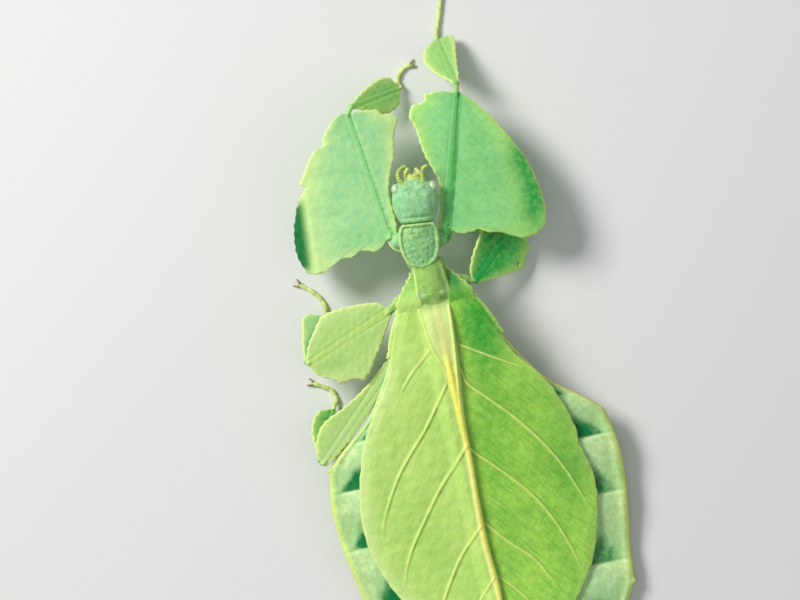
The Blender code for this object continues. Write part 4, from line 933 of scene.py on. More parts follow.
def segment_phase(y):
    """Which share of its segment each station is at."""
    ends = np.array([METATHORAX_BACK, *SEGMENT_ENDS, ABDOMEN_TIP])
    i = np.clip(np.searchsorted(ends, y, side="right") - 1, 0, len(ends) - 2)
    return np.clip((y - ends[i]) / (ends[i + 1] - ends[i]), 0.0, 1.0)


def abdomen_edge(y, x):
    """Half width with the small backward spurs at the segments' corners, on the side that x is on."""
    edge = abdomen_half_width(y)
    for at, left, right in ABDOMEN_SPURS:
        size = np.where(x > 0, left, right)
        edge = edge + size * np.clip((y - at + SPUR_LENGTH) / SPUR_LENGTH, 0, 1) * (y <= at)
        edge = edge + size * np.clip(1 - (y - at) / 0.5, 0, 1) * (y > at)
    teeth = np.abs((y * 1.25 + 0.3 * np.sin(y * 2.1)) % 1.0 - 0.5) * 0.12
    return edge + teeth * ease(y, 12.0, 16.0)


def abdomen():
    """The broad flat abdomen, with sunken seams, spurs, folded margins and the keel that it rests on."""
    front, back = METATHORAX_BACK - 0.2, ABDOMEN_TIP + 0.5

    def lay_out(u, v):
        y = front + (back - front) * v
        return abdomen_edge(y, 2 * u - 1) * (2 * u - 1), y

    def share_of(x, y):
        return np.abs(x) / abdomen_half_width(y)

    def seam(y):
        return sum(hump(y, end, 0.28) for end in SEGMENT_ENDS)

    def heights(x, y, u, v):
        share = np.minimum(share_of(x, y), 1.0)
        fold = FOLD_DEPTH * ease(share, 0.45, 0.85) * np.sin(math.pi * segment_phase(y) ** 2)
        middle = body_height(y) - MARGIN_DROOP * share**4 - fold
        half = thickness(np.minimum(abdomen_edge(y, x) - np.abs(x), 1.0))
        top = middle + half + crown_height(y) * (1 - share**2)
        top += -0.22 * seam(y) * (1 - 0.5 * ease(share, 0.9, 1.0)) + 0.07 * ripple(x, y, 3.4, 31)
        top += 0.16 * hump(share, 0.965, 0.016) - 0.1 * hump(share, 0.92, 0.03)
        keel = keel_depth(y) * hump(x, 0.0, KEEL_HALF_WIDTH) * (1 - share**6)
        bottom = middle - half - keel + 0.2 * seam(y) * hump(x, 0.0, 9.0)
        return top, np.maximum(bottom, 0.0)

    def masks(x, y, u, v):
        share, phase = share_of(x, y), segment_phase(y)
        inside = share + 0.02 * ripple(x, y, 2.4, 41)
        reach = 1.0 - 0.2 * (1 - phase)
        # Emerald patches before each segment's end: partly the skin's colour, partly painted shade of the
        # dished folds and the wing covers' edges
        patch = ease(phase, 0.22, 0.8) * (1 - ease(inside, reach - 0.17, reach + 0.02))
        fainter = 1 - 0.35 * ease(y, 22.0, 46.0) * (x < 0)
        patch = patch * ease(share, 0.45, 0.65) * fainter * (1 - ease(phase, 0.97, 0.998))
        edge = hump(abdomen_edge(y, x) - np.abs(x), 0.0, 0.45)
        return {
            "patch": patch * ease(y, 13.0, 16.0) * (1 - ease(y, 60.0, 64.0)),
            "share": share,
            # Painted shade darkening towards each segment's rear, so that each seam is followed by a painted
            # highlight
            "band": ease(phase, 0.15, 0.95) * (1 - 0.5 * ease(share, 0.85, 0.98)),
            # Painted shade: no pale rim on the left at the front, where the hind femur shades the edge
            "rim": edge * np.where(x > 0, ease(y, 16.0, 24.0), 1.0),
            "seam": np.minimum(seam(y), 1.0),
            "rust": hump(y, 21.0, 5.0) * (x < 0),
        }

    mesh = sheet("abdomen", ABDOMEN_GRID, lay_out, heights, masks)
    piece("abdomen", [mesh], abdomen_material())


def cerci():
    """The two small flat cerci, like narrow leaves."""
    look = small_material("cercus_skin", MINT, MINT_DEEP)
    level = float(body_height(ABDOMEN_TIP)) - 0.05

    def heights(x, y, u, v):
        half = 0.06 + 0.16 * np.sqrt(np.clip(1 - (2 * u - 1) ** 2, 0.0, 1.0)) * (1 - 0.6 * v)
        return level + half + 0.1 * hump(u, 0.5, 0.12), level - half

    for name, side in (("cercus_left", 1), ("cercus_right", -1)):
        inner, outer = (flowing([(side * x, y) for x, y in edge], 0.1) for edge in CERCUS_EDGES)
        mesh = sheet(name, CERCUS_GRID, fan_out(inner, outer, ABDOMEN_TIP), heights)
        piece(name, [mesh], look)


def wing_cover(name, outer, inner, veins, patches, lifted):
    """A leaf-like wing cover with raised veins, slightly quilted between them."""
    outer, inner = flowing(outer), flowing(inner)
    near_edge, far_edge = inner[::6], outer[::6]
    lines = [(width * VEIN_SLIMNESS, height, flowing(path, 0.8)) for width, height, path in veins]
    middle_line = flowing(MIDRIB, 0.8)
    front, back = outer[0][1], outer[-1][1]

    def lay_out(u, v):
        y = front + (back - front) * (1 - (1 - v) ** 1.5)
        near, far = at_station(inner, y), at_station(outer, y)
        waves = 0.1 * ripple(y, y * 0, 2.2, 7) * ease(u, 0.8, 1.0) * ease(back - y, 0.5, 4.0)
        return near + (far - near) * u + waves * np.sign(far - near), y

    def middle(x, y):
        height = body_height(y) + wing_rise(y) - WING_CAMBER * (x / WING_HALF_WIDTH) ** 2
        height = height - 0.33 * (1 - ease(y, -0.8, 2.5))
        if lifted:
            rise = WING_OVERLAP_RISE - 0.8 * (1 - ease(y, -0.8, 5.0))
            height = height + rise * (1 - ease(x, OVERLAP_TO, OVERLAP_FROM))
        return height

    def midrib(x, y):
        far = distance_to(x, y, middle_line)[0]
        return lifted * np.exp(-((far / 0.5) ** 3)) * ease(y, 7.0, 12.0) * (1 - 0.4 * ease(y, 45, 62))

    def near_veins(x, y):
        """Each vein's half width and height, and where points are beside it."""
        return [(width, height, *distance_to(x, y, line)) for width, height, line in lines]

    def heights(x, y, u, v):
        found = near_veins(x, y)
        nearest = np.min([off + 1.2 * ease(share, 0.7, 1.0) for _, _, off, _, share in found], axis=0)
        ribs = [h * (1 - ease(share, 0.65, 1.0)) * hump(off, 0.0, w) for w, h, off, _, share in found]
        edge = np.minimum(distance_to(x, y, far_edge)[0], distance_to(x, y, near_edge)[0])
        half = thickness(np.minimum(edge, y - front))
        quilt = 0.24 * (1 - np.exp(-nearest / 1.8)) * ease(edge, 0.0, 2.0)
        quilt += 0.05 * ripple(x, y, 2.6, 51) + 0.026 * ripple(x * 0.5, y + 0.45 * np.abs(x), 0.9, 52, 7)
        quilt += 0.03 * np.cos(x * 4.2) * (1 - ease(np.abs(x - 0.2), 1.8, 2.6)) * (1 - ease(y, 8.0, 14.0))
        centre = middle(x, y) - 0.14
        return centre + half + np.max(ribs, axis=0) + 0.34 * midrib(x, y) + quilt, centre - half

    def masks(x, y, u, v):
        found = near_veins(x, y)
        vein = [
            hump(off, 0.0, 0.95 * width * (1 - 0.45 * ease(share, 0.4, 1.0))) * (1 - ease(share, 0.84, 1.0))
            for width, _, off, _, share in found
        ]
        # The shaded side of each vein, away from the light
        lee = [
            hump(off, 1.5 * width, width) * (side < 0) * (1 - ease(share, 0.7, 1.0))
            for width, _, off, side, share in found
        ]
        rib = midrib(x, y)
        from_field = np.abs(x - at_station(flowing(CREAM_FIELD), y)) / cream_half_width(y)
        to_far, to_near = distance_to(x, y, far_edge)[0], distance_to(x, y, near_edge)[0]
        return {
            "vein": np.max(vein, axis=0),
            "lee": np.max(lee, axis=0),
            "front": 1 - ease(y, 6.0, 20.0),
            "pink": hump(x + 0.06 * y, 0.3, 0.5) * ease(y, 0.0, 3.0) * (1 - ease(y, 8.0, 13.0)),
            "collar": (1 - ease(y, -0.6, 1.4)) * lifted * (1 - ease(np.abs(x), 2.4, 3.2)),
            "rib": rib,
            "rib_pale": rib * ease(x - at_station(middle_line, y), -0.05, 0.25) * ease(y, 20.0, 34.0),
            "cream": 1 - ease(from_field, 0.8, 1.1),
            "deep": soft_spots(x, y, patches) + 0.08 * ripple(x, y, 9.0, 61),
            "edge": np.exp(-to_far / 1.6) * ease(y, 2.0, 14.0),
            "rim": hump(to_far, 0.0, 0.3) * ease(y, 6.0, 10.0),
            "near_rim": hump(to_near, 0.0, 0.3),
        }

    mesh = sheet(name, WING_GRID, lay_out, heights, masks)
    piece(name, [mesh], wing_material(name + "_skin", lifted))


# Legs


def segment_place(start, end, roll):
    """A frame with X along a leg segment and its flat side up, rolled about X."""
    along = (end - start).normalized()
    across = Vector((0, 0, 1)).cross(along).normalized()
    turn = Matrix((along, across, along.cross(across))).transposed().to_4x4()
    return Matrix.Translation(start) @ turn @ Matrix.Rotation(math.radians(roll), 4, "X")


def lobe_edge(side, length, reach, end_radii, seed):
    """One side of a lobed segment, from the hip end to the knee end, with its teeth."""
    sign = math.copysign(1.0, side[0][1]) * reach
    near, far = (math.copysign(r, sign) for r in end_radii)
    points = [(0.0, near, TOOTH), *((s * length, v * reach, *mark) for s, v, *mark in side), (length, far)]
    return serrated(flowing(points, 0.2), 1.5, 0.2, math.copysign(1.0, sign), seed)


def lobed_mesh(name, start, end, sides, radii, leg, spots, grid, seed):
    """A leg segment: a shaft along its middle and a leaf-like lobe on each side, in one sheet."""
    length = (end - start).length
    near, far = radii
    reach = leg["mirror"] * leg["reach"]
    first = lobe_edge(sides[0], length, reach, radii, seed)
    second = lobe_edge(sides[1][::-1], length, reach, radii, seed + 1)
    if first[len(first) // 2][1] < 0:
        first, second = second, first
    widest = max(np.abs(first[:, 1]).max(), np.abs(second[:, 1]).max())
    hem = [(s * length, v) for s, v in leg["hem"]]

    def spread(u):
        """How far out each point is, 0 at the shaft and 1 at the lobe's edge."""
        return np.abs(2 * u - 1) ** LOBE_SPREAD

    def pick(u, upper, lower):
        return np.where(2 * u - 1 >= 0, upper, lower)

    def width(u, v):
        return np.abs(pick(u, at_share(first, v)[:, 1], at_share(second, v)[:, 1]))

    def stations(edge, v):
        at = lengths_along(edge) / lengths_along(edge)[-1]
        forward = np.maximum.accumulate(np.clip(edge[:, 0], 0.0, length))
        return 0.55 * np.interp(v, at, forward) + 0.45 * v * length

    def lay_out(u, v):
        share, ahead, behind = spread(u), stations(first, v), stations(second, v)
        shaft = np.stack([u * 0 + 0.5 * (ahead + behind), u * 0], axis=-1)
        shaft[:, 0] = shaft[:, 0] + (pick(u, ahead, behind) - shaft[:, 0]) * ease(share, 0.0, 0.2)
        out = pick(u[:, None], at_share(first, v), at_share(second, v))
        return (shaft + (out - shaft) * share[:, None]).T

    def past_hem(x, y):
        """How far out past the hem's line each point is."""
        slope = (hem[1][1] - hem[0][1]) / (hem[1][0] - hem[0][0])
        return y - (hem[0][1] + (x - hem[0][0]) * slope)

    def heights(x, y, u, v):
        half = thickness((1 - spread(u)) * width(u, v))
        radius = near + (far - near) * np.clip(x / length, 0.0, 1.0)
        shaft = np.sqrt(np.maximum(radius**2 - y**2, 0.0))
        level = -leg["droop"] * ease(np.abs(y), 1.0, 18.0)
        if hem:
            start_x, end_x = hem[0][0], hem[1][0]
            between = ease(x, start_x - 0.6, start_x + 0.8) * (1 - ease(x, end_x - 0.8, end_x + 0.6))
            level = level - HEM_SLOPE * np.maximum(past_hem(x, y), 0.0) * between
        level = level + 0.12 * ripple(x, y, 5.0, seed + 20) * ease(np.abs(y), 1.0, 4.0)
        level = level + 0.03 * ripple(x, y, 1.4, seed + 30)
        crease = 0.07 * hump(np.abs(y), radius * 1.05, 0.2) + 0.1 * hump(y, -0.5 * near, 0.16) * (near > 0.8)
        flat = 1 - 0.6 * ease(widest, 1.0, 3.2) * ease(v, 0.0, 0.08) * (1 - ease(v, 0.92, 0.98))
        return level + np.maximum(half, shaft * flat) - crease, level - np.maximum(half, shaft * flat)

    def dots(x, y):
        """A row of uneven dots beside the shaft of a fore leg, and a dark line where the leg has one."""
        beat = x / 0.92 + 0.25 * np.sin(x * 1.7)
        phase = np.abs(beat % 1.0 - 0.5) * 2
        size = 0.5 + 0.5 * np.sin(np.floor(beat) * 2.4) ** 2
        row = hump(y, -0.55 * near, 0.15 + 0.1 * np.sin(np.floor(beat) * 1.3) ** 2)
        row = row * ease(phase, 0.62, 0.95) * size * (near > 0.8) * (1 - 0.8 * ease(x / length, 0.75, 0.9))
        return np.maximum(row, leg["line"] * hump(y, -0.62 * near, 0.17) * ease(x / length, 0.2, 0.7))

    def masks(x, y, u, v):
        # Where the edge folds down, the material paints it dark green as the fold's shade
        folded = np.zeros_like(x)
        if hem:
            along = ease(x, hem[0][0], hem[0][0] + 3.0) * (1 - ease(x, hem[1][0] - 3.0, hem[1][0]))
            folded = ease(past_hem(x, y), -0.2, 2.0) * along
        ends = np.minimum(np.minimum(v, 1 - v) * 12, 1.0)
        return {
            "share": spread(u),
            "deep": soft_spots(x / length, y, spots),
            "rim": hump((1 - spread(u)) * width(u, v), 0.0, 0.34) * ends * (1 - folded),
            "hem": folded,
            "dots": dots(x, y),
            "shaft": 1 - ease(np.abs(y) / (near + (far - near) * x / length), 0.3, 1.25),
        }

    holes = [(s * length, v * reach, radius) for s, v, radius in leg["holes"]]
    return sheet(name, grid, lay_out, heights, masks, segment_place(start, end, leg["roll"]), holes)


def coxa_plate(name, level, deep):
    """The flat rimmed lobe at a fore leg's root."""
    inner, outer = (flowing(line, 0.1) for line in COXA_PLATES[name])
    width = np.linalg.norm(outer[len(outer) // 2] - inner[len(inner) // 2])

    def heights(x, y, u, v):
        half = thickness((1 - u) * width)
        middle = level + 0.05 * ripple(x, y, 1.4, 71) - 0.25 * u**2
        return middle + half, middle - half

    def masks(x, y, u, v):
        return {"share": 0.75, "deep": deep * ease(v, 0.0, 0.3), "rim": hump((1 - u) * width, 0.0, 0.26)}

    return sheet(name + "_plate", PLATE_GRID, fan_out(inner, outer), heights, masks)


def knob(v, turn):
    """Swells a coxa into a spiny plate before its narrow neck."""
    spines = 0.12 * np.maximum(0.0, np.cos(7 * turn + 2.0)) ** 3 * np.cos(60 * v) ** 2
    plate = 0.4 * hump(v, 0.66, 0.17) * (1 + spines) * (0.4 + 0.6 * np.cos(turn) ** 2)
    return 1 + plate - 0.2 * hump(v, 0.84, 0.04) + 0.05 * np.cos(5 * turn + 9 * v)


def leg_pieces(name, table):
    """Coxa, femur, tibia, tarsus and claws of one leg."""
    leg = {**PLAIN_LEG, **LEG_KINDS[name.split("_")[0]], **table}
    coxa, hip, knee, shin, ankle = map(Vector, leg["joints"])
    thigh, lower = (knee - hip).normalized(), (ankle - shin).normalized()
    near, far = leg["shaft"]
    thick, slot = leg["coxa_radius"], leg["slot"]
    seed = sum(map(ord, name))

    root_line = joint_line(coxa, (hip - coxa).normalized(), hip + thigh * 0.6, thigh, pull=1.5, count=6)
    root_radii = (thick, thick, (thick + near) / 2, near * 0.95)
    root = [tube(name + "_coxa", root_line, root_radii, sides=32, step=0.06, swell=knob)]
    if name in COXA_PLATES:
        root = [coxa_plate(name, hip.z - 0.1, COXA_DEPTHS[name]), *root]
        root_look = lobe_material(name)
    else:
        root_look = small_material("coxa_lime", LIME, MINT_DEEP)
    piece(name + "_coxa", root, root_look)

    spots = DEEP_SPOTS.get(name, ())
    femur = lobed_mesh(name + "_femur", hip, knee, leg["femur"], (near, far), leg, spots, leg["grid"], seed)
    piece(name + "_femur", [femur], lobe_material(name))

    lower_name = name + "_shin"
    plain = {**PLAIN_LEG, "mirror": leg["mirror"], "reach": leg["reach"]}
    blade = lobed_mesh(
        name + "_blade", shin, ankle + lower * 0.3, leg["tibia"], (far, ANKLE_RADIUS), plain,
        DEEP_SPOTS.get(lower_name, ()), SHIN_GRID, seed + 5,
    )
    bend = joint_line(knee - thigh * 0.6, thigh, shin + lower * 0.9, lower, pull=2.2, count=8)
    neck = tube(name + "_neck", bend, (far * 0.9, far * 0.8, far * 0.95), sides=24, step=0.08)
    shin_look = lobe_material(lower_name if lower_name in LOBE_TONES else name)
    piece(name + "_tibia", [blade, neck], shin_look)
    toes = [(*toe, height) for toe, height in zip(leg["toes"], TOE_HEIGHTS)]
    foot_pieces(name + "_tarsus", ankle, lower, toes)


def foot_pieces(name, ankle, lower, toes):
    """A tarsus of five padded joints, and its two claws."""
    line = [tuple(ankle), tuple(ankle + lower * 0.8), *toes]
    foot = tube(name, line, TARSUS_RADII, sides=28, swell=beads(TARSUS_JOINTS, BEAD_DEPTH))
    for v in foot.vertices:
        v.co.z = max(v.co.z, 0.0)
    piece(name, [foot], small_material("foot_skin", FOOT, FOOT_DARK))
    heading = (Vector(toes[-1]) - Vector(toes[-2])).normalized()
    aside = Vector((-heading.y, heading.x, 0.0))
    claws = []
    for side in (1, -1):
        start = Vector(toes[-1]) + aside * side * 0.2 - heading * 0.25 + Vector((0, 0, 0.1))
        tip = start + heading * CLAW_LENGTH + aside * side * 0.5
        tip.z = 0.12
        middle = (start + tip) / 2 + Vector((0, 0, 0.28))
        leave, arrive = (middle - start).normalized(), (tip - middle).normalized()
        path = joint_line(start, leave, tip, arrive, pull=0.9, count=5)
        claws.append(tube("claw", path, CLAW_RADII, sides=16, step=0.04))
    piece(name.replace("tarsus", "claws"), claws, claw_material(), [name])


# Materials


def linear(tone):
    """A linear colour from screen values of 0 to 255. A node's colour stays as it is."""
    if isinstance(tone, bpy.types.NodeSocket):
        return tone
    return (*(((c / 255 + 0.055) / 1.055) ** 2.4 if c > 10 else c / 255 / 12.92 for c in tone), 1.0)


def add(tree, kind, inputs=None, **settings):
    """A node with its settings, and its inputs set to values or linked to sockets."""
    made = tree.nodes.new("ShaderNode" + kind)
    for key, value in settings.items():
        setattr(made, key, value)
    for key, value in (inputs or {}).items():
        if isinstance(value, bpy.types.NodeSocket):
            tree.links.new(value, made.inputs[key])
        else:
            made.inputs[key].default_value = value
    return made


def blend(tree, factor, below, above):
    """The colour below with the one above laid over it by the factor."""
    return add(tree, "Mix", {0: factor, 6: linear(below), 7: linear(above)}, data_type="RGBA").outputs[2]


def maths(tree, operation, first, second):
    """One step of arithmetic, kept within 0 and 1 unless it adds."""
    inputs, clamped = {0: first, 1: second}, operation != "ADD"
    return add(tree, "Math", inputs, operation=operation, use_clamp=clamped).outputs[0]


def scaled(tree, value, amount):
    return maths(tree, "MULTIPLY", value, amount)


def inverse(tree, value):
    return maths(tree, "SUBTRACT", 1.0, value)


def between(tree, value, low, high):
    """0 below low, 1 above high, and smooth between."""
    inputs = {"Value": value, "From Min": low, "From Max": high}
    return add(tree, "MapRange", inputs, interpolation_type="SMOOTHSTEP").outputs["Result"]


def mask(tree, name):
    return add(tree, "Attribute", attribute_name=name).outputs["Fac"]


def layered(tree, grain, base, layers):
    """Colours laid over a base one by one, each by a mask, a grain or a node's value times an amount."""
    for source, amount, tone in layers:
        if isinstance(source, str):
            source = grain[source] if source in SKIN_VALUES else mask(tree, source)
        base = blend(tree, scaled(tree, source, amount), base, tone)
    return base


def in_millimetres(tree):
    """The piece's own place, scaled to millimetres."""
    place = add(tree, "TexCoord").outputs["Object"]
    return add(tree, "VectorMath", {0: place, "Scale": 1 / MM}, operation="SCALE").outputs[0]


def noise(tree, place, scale, detail, output="Fac", **more):
    inputs = {"Vector": place, "Scale": scale, "Detail": detail, **more}
    return add(tree, "TexNoise", inputs).outputs[output]


@functools.cache
def skin_group():
    """The grain of a leaf's skin, in millimetres: cloudy tone, mottling, a fine net, dots and relief."""
    tree = bpy.data.node_groups.new("leaf_skin", "ShaderNodeTree")
    for name in SKIN_VALUES:
        tree.interface.new_socket(name, in_out="OUTPUT", socket_type="NodeSocketFloat")
    out = tree.nodes.new("NodeGroupOutput")
    here = in_millimetres(tree)
    tone = noise(tree, here, 0.14, 3.0)
    mottle = noise(tree, here, 0.95, 4.0, Roughness=0.62)
    grain = noise(tree, here, 5.0, 2.0)
    parts = add(tree, "SeparateXYZ", {0: here}).outputs
    mirrored_x = add(tree, "Math", {0: parts[0]}, operation="ABSOLUTE").outputs[0]
    mirrored = add(tree, "CombineXYZ", {0: mirrored_x, 1: parts[1], 2: parts[2]}).outputs[0]
    slant = {"Vector": mirrored, "Rotation": (0.0, 0.0, 0.9), "Scale": (3.2, 0.42, 1.0)}
    turned = add(tree, "Mapping", slant, vector_type="TEXTURE").outputs[0]
    streaks = noise(tree, turned, 0.9, 3.0)
    bent = noise(tree, here, 0.8, 2.0, "Color")
    pushed = add(tree, "VectorMath", {0: bent, "Scale": 1.6}, operation="SCALE").outputs[0]
    warped = add(tree, "VectorMath", {0: here, 1: pushed}, operation="ADD").outputs[0]
    cells = add(tree, "TexVoronoi", {"Vector": warped, "Scale": 0.85}, feature="DISTANCE_TO_EDGE")
    net = inverse(tree, between(tree, cells.outputs["Distance"], 0.0, 0.14))
    spots = add(tree, "TexVoronoi", {"Vector": here, "Scale": 0.8}).outputs
    picked = between(tree, add(tree, "SeparateColor", {0: spots["Color"]}).outputs[0], 0.6, 0.72)
    near = inverse(tree, between(tree, spots["Distance"], 0.12, 0.24))
    relief = scaled(tree, grain, 0.5)
    for part, amount in ((mottle, 0.5), (net, 0.12), (streaks, 0.5)):
        relief = maths(tree, "ADD", relief, scaled(tree, part, amount))
    made = (
        between(tree, tone, 0.34, 0.66), between(tree, mottle, 0.36, 0.66), between(tree, streaks, 0.42, 0.7),
        net, scaled(tree, picked, near), relief,
    )
    for name, value in zip(SKIN_VALUES, made):
        tree.links.new(value, out.inputs[name])
    return tree


def start_material(name):
    """A new material with its shader, its node tree and the skin's grain."""
    made = bpy.data.materials.new(name)
    made.use_nodes = True
    tree = made.node_tree
    grain = tree.nodes.new("ShaderNodeGroup")
    grain.node_tree = skin_group()
    return made, tree, tree.nodes["Principled BSDF"], grain.outputs


def settle(tree, shader, base, relief, roughness, bump=0.00012, strength=0.7, soft=0.08, gloss=0.22):
    """Links the colour and the relief, and sets the shader's own values."""
    tree.links.new(base, shader.inputs["Base Color"])
    lift = add(tree, "Bump", {"Height": relief, "Distance": bump, "Strength": strength})
    tree.links.new(lift.outputs[0], shader.inputs["Normal"])
    for name, value in (
        ("Roughness", roughness), ("Specular IOR Level", gloss), ("Subsurface Weight", soft),
        ("Subsurface Scale", SOFT_DEPTH), ("Subsurface Radius", SOFT_RADIUS),
    ):
        shader.inputs[name].default_value = value


def leafy(tree, grain, base, tones, net):
    """A leaf's cloudy, streaked colouring over a base."""
    _, deep, pale = tones
    layers = (("Tone", 0.28, deep), ("Mottle", 0.24, pale), ("Streaks", 0.33, deep), ("Net", net, deep))
    return layered(tree, grain, base, layers)


def wing_material(name, left):
    """Yellow-green skin with yellow veins, a cream field at the front and a fine cross-grain."""
    tones = WING_LEFT_TONES if left else WING_RIGHT_TONES
    light, deep, pale = tones
    made, tree, shader, grain = start_material(name)
    base = blend(tree, between(tree, mask(tree, "deep"), 0.05, 1.0), light, deep)
    base = leafy(tree, grain, base, tones, 0.14 if left else 0.18)
    field = layered(tree, grain, FIELD_CREAM, (("pink", 0.75, FIELD_PINK), ("Mottle", 0.3, FIELD_GREEN)))
    field = blend(tree, mask(tree, "front"), RIB_CREAM, field)
    base = layered(tree, grain, base, (
        ("edge", 0.75 if left else 0.35, pale),
        ("lee", 0.3, LEE_GREEN),
        ("cream", 0.85 if left else 0.0, field),
        ("collar", 0.6, FIELD_SHADE),
        ("vein", 0.85, VEIN_YELLOW),
        ("rib", 0.95, RIB_CREAM),
        ("rib_pale", 0.7, RIB_PALE),
        ("rim", 0.3, RIM_YELLOW),
        ("near_rim", 0.45 if left else 0.0, RIM_YELLOW),
        ("Dots", 0.12, DOT_OLIVE),
    ))
    settle(tree, shader, base, grain["Relief"], roughness=0.46)
    return made


@functools.cache
def lobe_material(name):
    """A leg's leafy skin: pale towards a yellow rim, deeper in places, with dots along the shaft and painted
    shade where the edge folds down.
    """
    light, dark, edge, shaft = LOBE_TONES[name]
    made, tree, shader, grain = start_material(name + "_skin")
    # Painted shade on the part of the lobe that folds down
    hem = layered(tree, grain, HEM_SHADE_GREEN, (("Mottle", 0.6, SHADE_GREEN),))
    base = layered(tree, grain, light, (
        (between(tree, mask(tree, "share"), 0.4, 1.0), 0.8, edge),
        (between(tree, mask(tree, "deep"), 0.02, 1.0), 1.0, dark),
        ("Tone", 0.16, dark),
        ("Mottle", 0.24, edge),
        ("Streaks", 0.1, dark),
        ("Net", 0.06, dark),
        ("shaft", 0.6, shaft),
        ("Dots", 0.28, dark),
        ("hem", 1.0, hem),
        ("rim", 0.85, RIM_YELLOW),
        ("dots", 0.7, MINT_SPOT),
    ))
    settle(tree, shader, base, grain["Relief"], roughness=0.5)
    return made


def body_material(name, light, dark, blotch=0.5):
    """Granular skin of the head and thorax, with dark dots and pale rims."""
    made, tree, shader, grain = start_material(name)
    grains = add(tree, "TexVoronoi", {"Vector": in_millimetres(tree), "Scale": 2.6}).outputs["Distance"]
    dome = inverse(tree, between(tree, grains, 0.0, 0.55))
    base = layered(tree, grain, light, (
        ("Tone", 0.3, dark), ("Mottle", blotch, dark), (dome, 0.28, GRAIN_PALE), ("Dots", 0.45, MINT_SPOT),
    ))
    for side, tones, share in (("rear_left", WING_LEFT_TONES, 0.0), ("rear_right", WING_RIGHT_TONES, 0.6)):
        rear = blend(tree, share, tones[0], tones[1])
        base = blend(tree, mask(tree, side), base, leafy(tree, grain, rear, tones, 0.1))
    base = layered(tree, grain, base, (
        ("shade", 1.0, SHADE_GREEN), ("field", 0.6, FIELD_CREAM), ("olive", 0.65, OLIVE),
        # A painted highlight on the thorax's rear
        ("frost", 0.4, PALE_HIGHLIGHT), ("rim", 0.8, RIM_GREEN),
    ))
    relief = maths(tree, "ADD", scaled(tree, dome, 0.9), scaled(tree, grain["Relief"], 0.5))
    settle(tree, shader, base, relief, roughness=0.48, bump=0.00006, strength=0.6)
    return made


def abdomen_material():
    """Pale margins with emerald patches before each segment's end, partly the skin's colour and partly
    painted shade of the dished folds and the wing covers' edges, and a thin yellow rim.
    """
    made, tree, shader, grain = start_material("abdomen_skin")
    feather = maths(tree, "ADD", scaled(tree, grain["Mottle"], 0.2), scaled(tree, grain["Tone"], 0.1))
    patch = between(tree, maths(tree, "SUBTRACT", mask(tree, "patch"), feather), 0.0, 0.75)
    rim = blend(tree, mask(tree, "rust"), MARGIN_RIM, RUST)
    base = blend(tree, between(tree, mask(tree, "share"), 0.8, 1.0), MARGIN, MARGIN_EDGE)
    base = layered(tree, grain, base, (
        ("Tone", 0.3, MARGIN_TONE),
        ("Net", 0.16, MARGIN_NET),
        ("band", 0.5, MARGIN_BAND_SHADE),
        ("Mottle", 0.3, MARGIN_MOTTLE),
        (patch, 1.0, EMERALD_SHADE),
        ("seam", 0.3, MARGIN_SEAM),
        ("rim", 0.9, rim),
    ))
    settle(tree, shader, base, grain["Relief"], roughness=0.5)
    return made


@functools.cache
def small_material(name, light, dark):
    """Mottled skin for the small round parts."""
    made, tree, shader, grain = start_material(name)
    base = layered(tree, grain, light, (("Mottle", 0.6, dark), ("Dots", 0.5, dark)))
    settle(tree, shader, base, grain["Relief"], roughness=0.42)
    return made


@functools.cache
def eye_material():
    """Pale glossy eye with fine facets."""
    made, tree, shader, grain = start_material("eye_lens")
    facets = add(tree, "TexVoronoi", {"Vector": in_millimetres(tree), "Scale": 9.0}).outputs["Distance"]
    base = layered(tree, grain, EYE_PALE, (("Mottle", 0.6, EYE_GREEN),))
    domes = inverse(tree, facets)
    settle(tree, shader, base, domes, roughness=0.16, bump=0.00002, strength=0.5, soft=0.05, gloss=0.5)
    shader.inputs["Coat Weight"].default_value = 0.6
    return made


@functools.cache
def claw_material():
    """Horny amber claws."""
    made, tree, shader, grain = start_material("claw_horn")
    base = blend(tree, grain["Mottle"], CLAW_AMBER, CLAW_TIP)
    relief = grain["Relief"]
    settle(tree, shader, base, relief, roughness=0.3, bump=0.00003, strength=0.4, soft=0.0, gloss=0.5)
    return made


# Stage


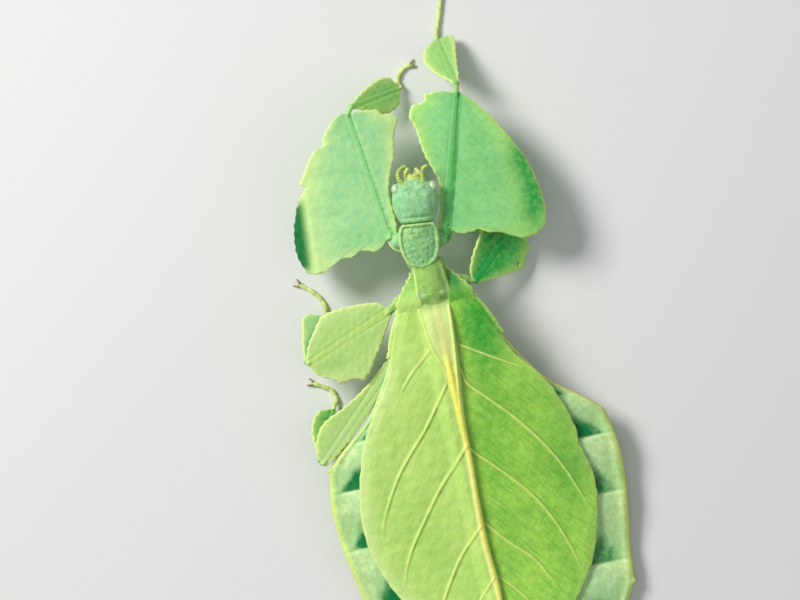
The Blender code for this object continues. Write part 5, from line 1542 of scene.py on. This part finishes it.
def floor_and_light():
    """A plain pale floor, a large soft key light from the photo's upper left, and a weak fill."""
    bm = bmesh.new()
    bmesh.ops.create_grid(bm, x_segments=2, y_segments=2, size=FLOOR_SIZE)
    mesh = bpy.data.meshes.new("floor")
    bm.to_mesh(mesh)
    bm.free()
    floor = new_object("floor", mesh)
    made = bpy.data.materials.new("floor")
    made.use_nodes = True
    shader = made.node_tree.nodes["Principled BSDF"]
    shader.inputs["Base Color"].default_value = linear(FLOOR_TONE)
    shader.inputs["Roughness"].default_value = FLOOR_ROUGHNESS
    mesh.materials.append(made)
    for name, place, size, power in LAMPS:
        light = bpy.data.lights.new(name, "AREA")
        light.size = size
        light.energy = power
        lamp = new_object(name, light)
        lamp.location = place
        lamp.rotation_euler = (-Vector(place)).to_track_quat("-Z", "Y").to_euler()
    world = bpy.data.worlds.new("studio")
    world.use_nodes = True
    room = world.node_tree.nodes["Background"]
    room.inputs["Color"].default_value = ROOM_TONE
    room.inputs["Strength"].default_value = ROOM_STRENGTH
    bpy.context.scene.world = world
    bpy.context.scene.view_settings.view_transform = "Standard"


def camera():
    """Straight above, as in the photo, with the head turned towards the top of the picture."""
    lens = bpy.data.cameras.new("camera")
    lens.lens = CAMERA_LENS
    lens.clip_start, lens.clip_end = CAMERA_CLIP
    eye = new_object("camera", lens)
    eye.location = CAMERA_PLACE
    eye.rotation_euler = (0.0, 0.0, CAMERA_TURN)
    bpy.context.scene.camera = eye


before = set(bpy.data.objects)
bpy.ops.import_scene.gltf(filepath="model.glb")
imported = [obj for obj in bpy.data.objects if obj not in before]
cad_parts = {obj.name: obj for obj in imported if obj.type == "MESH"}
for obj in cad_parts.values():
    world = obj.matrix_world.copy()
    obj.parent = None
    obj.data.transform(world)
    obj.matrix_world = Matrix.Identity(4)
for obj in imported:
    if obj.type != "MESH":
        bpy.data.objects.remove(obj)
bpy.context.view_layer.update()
head()
eyes()
antennae()
mouthparts()
pronotum()
thorax()
abdomen()
cerci()
wing_cover("wing_cover_left", LEFT_OUTER, LEFT_INNER, VEINS_LEFT, LEFT_PATCHES, lifted=True)
wing_cover("wing_cover_right", RIGHT_OUTER, RIGHT_INNER, VEINS_RIGHT, RIGHT_PATCHES, lifted=False)
for leg_name, leg_table in LEGS.items():
    leg_pieces(leg_name, leg_table)
floor_and_light()
camera()
